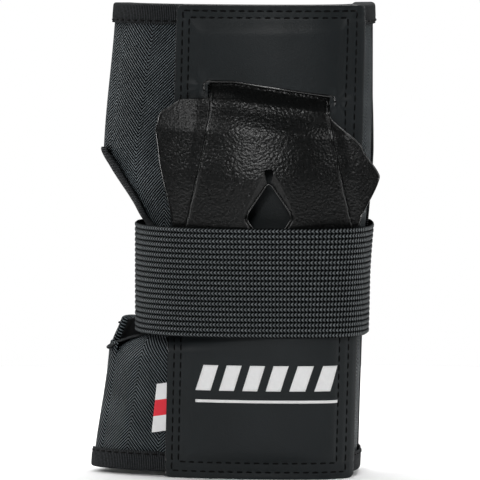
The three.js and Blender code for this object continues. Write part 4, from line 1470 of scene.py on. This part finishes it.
def tail_parts():
    tab_from = back_place(STRAP_FORM, FLAP_END_X)
    tab_to = back_place(STRAP_FORM, FLAP_END_X - 15)
    hook_to = back_place(STRAP_FORM, FIELD_X[0] + 3)

    def tab(u, v):
        z = mix(STRAP_LOW + 3, STRAP_TOP - 3, v)
        w = mix(tab_from, tab_to, u)
        edge = np.minimum(np.minimum(u, 1 - u) * 15, np.minimum(v, 1 - v) * 44)
        out = STRAP + GAP + LEATHER - 0.3 * hump(np.abs(edge - 2), 0, 1.2)
        return STRAP_FORM.at(w, z, out), np.stack([STRAP_FORM.cloth(w, z), z], axis=1)

    obj = skin("strap_pull_tab_leather", LEATHER_SKIN, even(24), even(60), tab)
    thicken(obj, LEATHER)
    soften(obj, 0.35, 2, 60)
    place_piece(obj, "strap_end", ["strap_pull_tab"])

    def tab_face(u, v, out):
        z = mix(STRAP_LOW + 3, STRAP_TOP - 3, v)
        return STRAP_FORM.at(mix(tab_from, tab_to, u), z, STRAP + GAP + LEATHER + out)

    along, across = even(40, 0.045, 0.955), even(20, 0.13, 0.87)
    runs = [run(tab_face, u, along, lift=0.05) for u in (0.13, 0.87)]
    runs += [run(tab_face, across, v, lift=0.05) for v in (0.045, 0.955)]
    thread = join_copies("pull_tab_stitching", THREAD, STITCH_MESH, seam(runs, 3.6))
    place_piece(thread, "strap_end")

    def hooks(u, v):
        z = mix(STRAP_LOW + 2, STRAP_TOP - 2, v)
        w = mix(TAIL_END + 0.01, hook_to, u)
        return STRAP_FORM.at(w, z, -GAP), np.stack([STRAP_FORM.cloth(w, z), z], axis=1)

    patch = skin("strap_tail_hooks", HOOKS, even(14), even(30), hooks)
    thicken(patch, 1.2)
    place_piece(patch, "strap_end", ["strap_hook_patch"])


# ---- label and print ----


def side_label():
    def place(u, v):
        z = mix(LABEL_Z[0], LABEL_Z[1], v)
        left, _ = leather_edges(z)
        x = mix(left - 7.5 + 1.8 * v, left + 5, u)
        z = z + 0.17 * (x - left + 3)
        cloth = np.stack([x, mix(LABEL_Z[0], LABEL_Z[1], v)], axis=1)
        return on_palm(x, z, GAP + 0.9 + 0.25 * hump(u, 0.35, 0.35)), cloth

    obj = skin("side_label_woven", LABEL, even(16), even(30), place)
    thicken(obj, 0.8)
    place_piece(obj, "wrap", ["side_label"])


def leather_print():
    """A generic printed row of slanted bars over a thin line, laid on the leather."""
    def printed(left, width, lean, low, high):
        def place(u, v):
            x, z = left + width * u + lean * v, mix(low, high, v)
            return leather_face(x, z, 0.05), np.stack([x, z], axis=1)
        return place

    bars, left, pitch = 6, -16.5, 10.0
    pieces = []
    for i in range(bars):
        place = printed(left + i * pitch, 6.4, 3.4, 40.0, 51.5)
        pieces.append(skin(f"print_bar_{i + 1}", INK, even(6), even(10), place))
    place = printed(left, bars * pitch, 0, 34.6, 35.9)
    pieces.append(skin("print_line", INK, even(50), even(2), place))
    for obj in pieces:
        thicken(obj, 0.04, outward=True)
        place_piece(obj, "wrap")


# ---- build ----

leather_panel()
leather_stitches()
slit_lip()
palm_splint()
splint_beads()
painted_edges()
vent_rim()
elastic_strap()
wrap_pads()
side_gusset()
gusset_piping()
closing_seams()
wrap_bindings()
flap("hand_flap", NOTCH_TOP + 0.5, RIM_TOP, 10)
flap("forearm_flap", RIM_LOW, NOTCH_LOW - 0.5, 7, corner_rise=11.5)
back_cover()
for node, low, high in (
    ("hand_loop_field", NOTCH_TOP + 12, BACK_TOP - 12),
    ("wrist_loop_field", STRAP_LOW + 1, STRAP_TOP - 1),
    ("forearm_loop_field", RIM_LOW + 12, STRAP_LOW - 8),
):
    loop_field(node, low, high)
tail_parts()
side_label()
leather_print()

# The stiff stay inside the back cover and the strap's sewn anchor keep their CAD shapes.
for node, material in (("back_splint", PLASTIC), ("strap_anchor", LEATHER_SKIN)):
    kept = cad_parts[node]
    kept.data.materials.clear()
    kept.data.materials.append(material)

# ---- floor, lights and camera ----


def floor():
    """A pale flat disc for the guard to stand on."""
    bm = bmesh.new()
    bmesh.ops.create_circle(bm, cap_ends=True, segments=96, radius=0.55)
    material, tree = new_material("studio_paper_matt")
    close_material(tree, linear("#f2f2f2"), 0.9, None)
    return finish_mesh(bm, "studio_floor", material)


def area_light(name, place, aim, size, power):
    data = bpy.data.lights.new(name, "AREA")
    data.shape = "RECTANGLE"
    data.size, data.size_y = size
    data.energy = power
    obj = bpy.data.objects.new(name, data)
    obj.location = place
    obj.rotation_euler = (Vector(aim) - Vector(place)).to_track_quat("-Z", "Y").to_euler()
    obj.visible_camera = False
    bpy.context.scene.collection.objects.link(obj)
    return obj


MIDDLE = Vector((0.0, 0.0, 0.107))
stage = [
    floor(),
    area_light("key_softbox", (-0.2, -1.25, 0.62), MIDDLE, (0.35, 0.3), 6.2),
    area_light("left_softbox", (-0.87, -0.45, 0.6), MIDDLE, (0.22, 0.4), 2.2),
    area_light("right_softbox", (0.87, -0.45, 0.6), MIDDLE, (0.22, 0.4), 2.2),
    area_light("rear_left_strip", (-0.7, 0.45, 0.5), MIDDLE, (0.2, 0.9), 3),
    area_light("rear_right_strip", (0.7, 0.45, 0.5), MIDDLE, (0.2, 0.9), 3),
    area_light("rear_top_softbox", (0.0, 0.55, 0.95), MIDDLE, (1.2, 0.3), 6.5),
    area_light("floor_light", (0.0, 0.9, 1.6), (0.0, 1.3, 0.0), (2.4, 1.0), 30),
    area_light("front_floor_light", (0.0, 0.3, 1.3), (0.0, 0.25, 0.0), (1.4, 0.4), 2),
]

# The room is dim to light the guard by, and white to look at behind it.
world = bpy.data.worlds.new("studio")
world.use_nodes = True
sky = world.node_tree
seen = add(sky, "LightPath")
level = add(sky, "MapRange", {"Value": seen, "To Min": 0.05, "To Max": 1.0})
sky.links.new(level.outputs["Result"], sky.nodes["Background"].inputs["Strength"])
sky.nodes["Background"].inputs["Color"].default_value = linear("#ffffff")
bpy.context.scene.world = world
bpy.context.scene.view_settings.view_transform = "Standard"

CAMERA_AIM = Vector((0.0018, -0.027, 0.1081))
CAMERA_DISTANCE = 3.0
CAMERA_RISE = math.radians(4.0)
camera_data = bpy.data.cameras.new("camera")
camera_data.lens = 500
camera = bpy.data.objects.new("camera", camera_data)
away = Vector((0, -math.cos(CAMERA_RISE), math.sin(CAMERA_RISE)))
camera.location = CAMERA_AIM + away * CAMERA_DISTANCE
camera.rotation_euler = (-away).to_track_quat("-Z", "Y").to_euler()
bpy.context.scene.collection.objects.link(camera)
bpy.context.scene.camera = camera
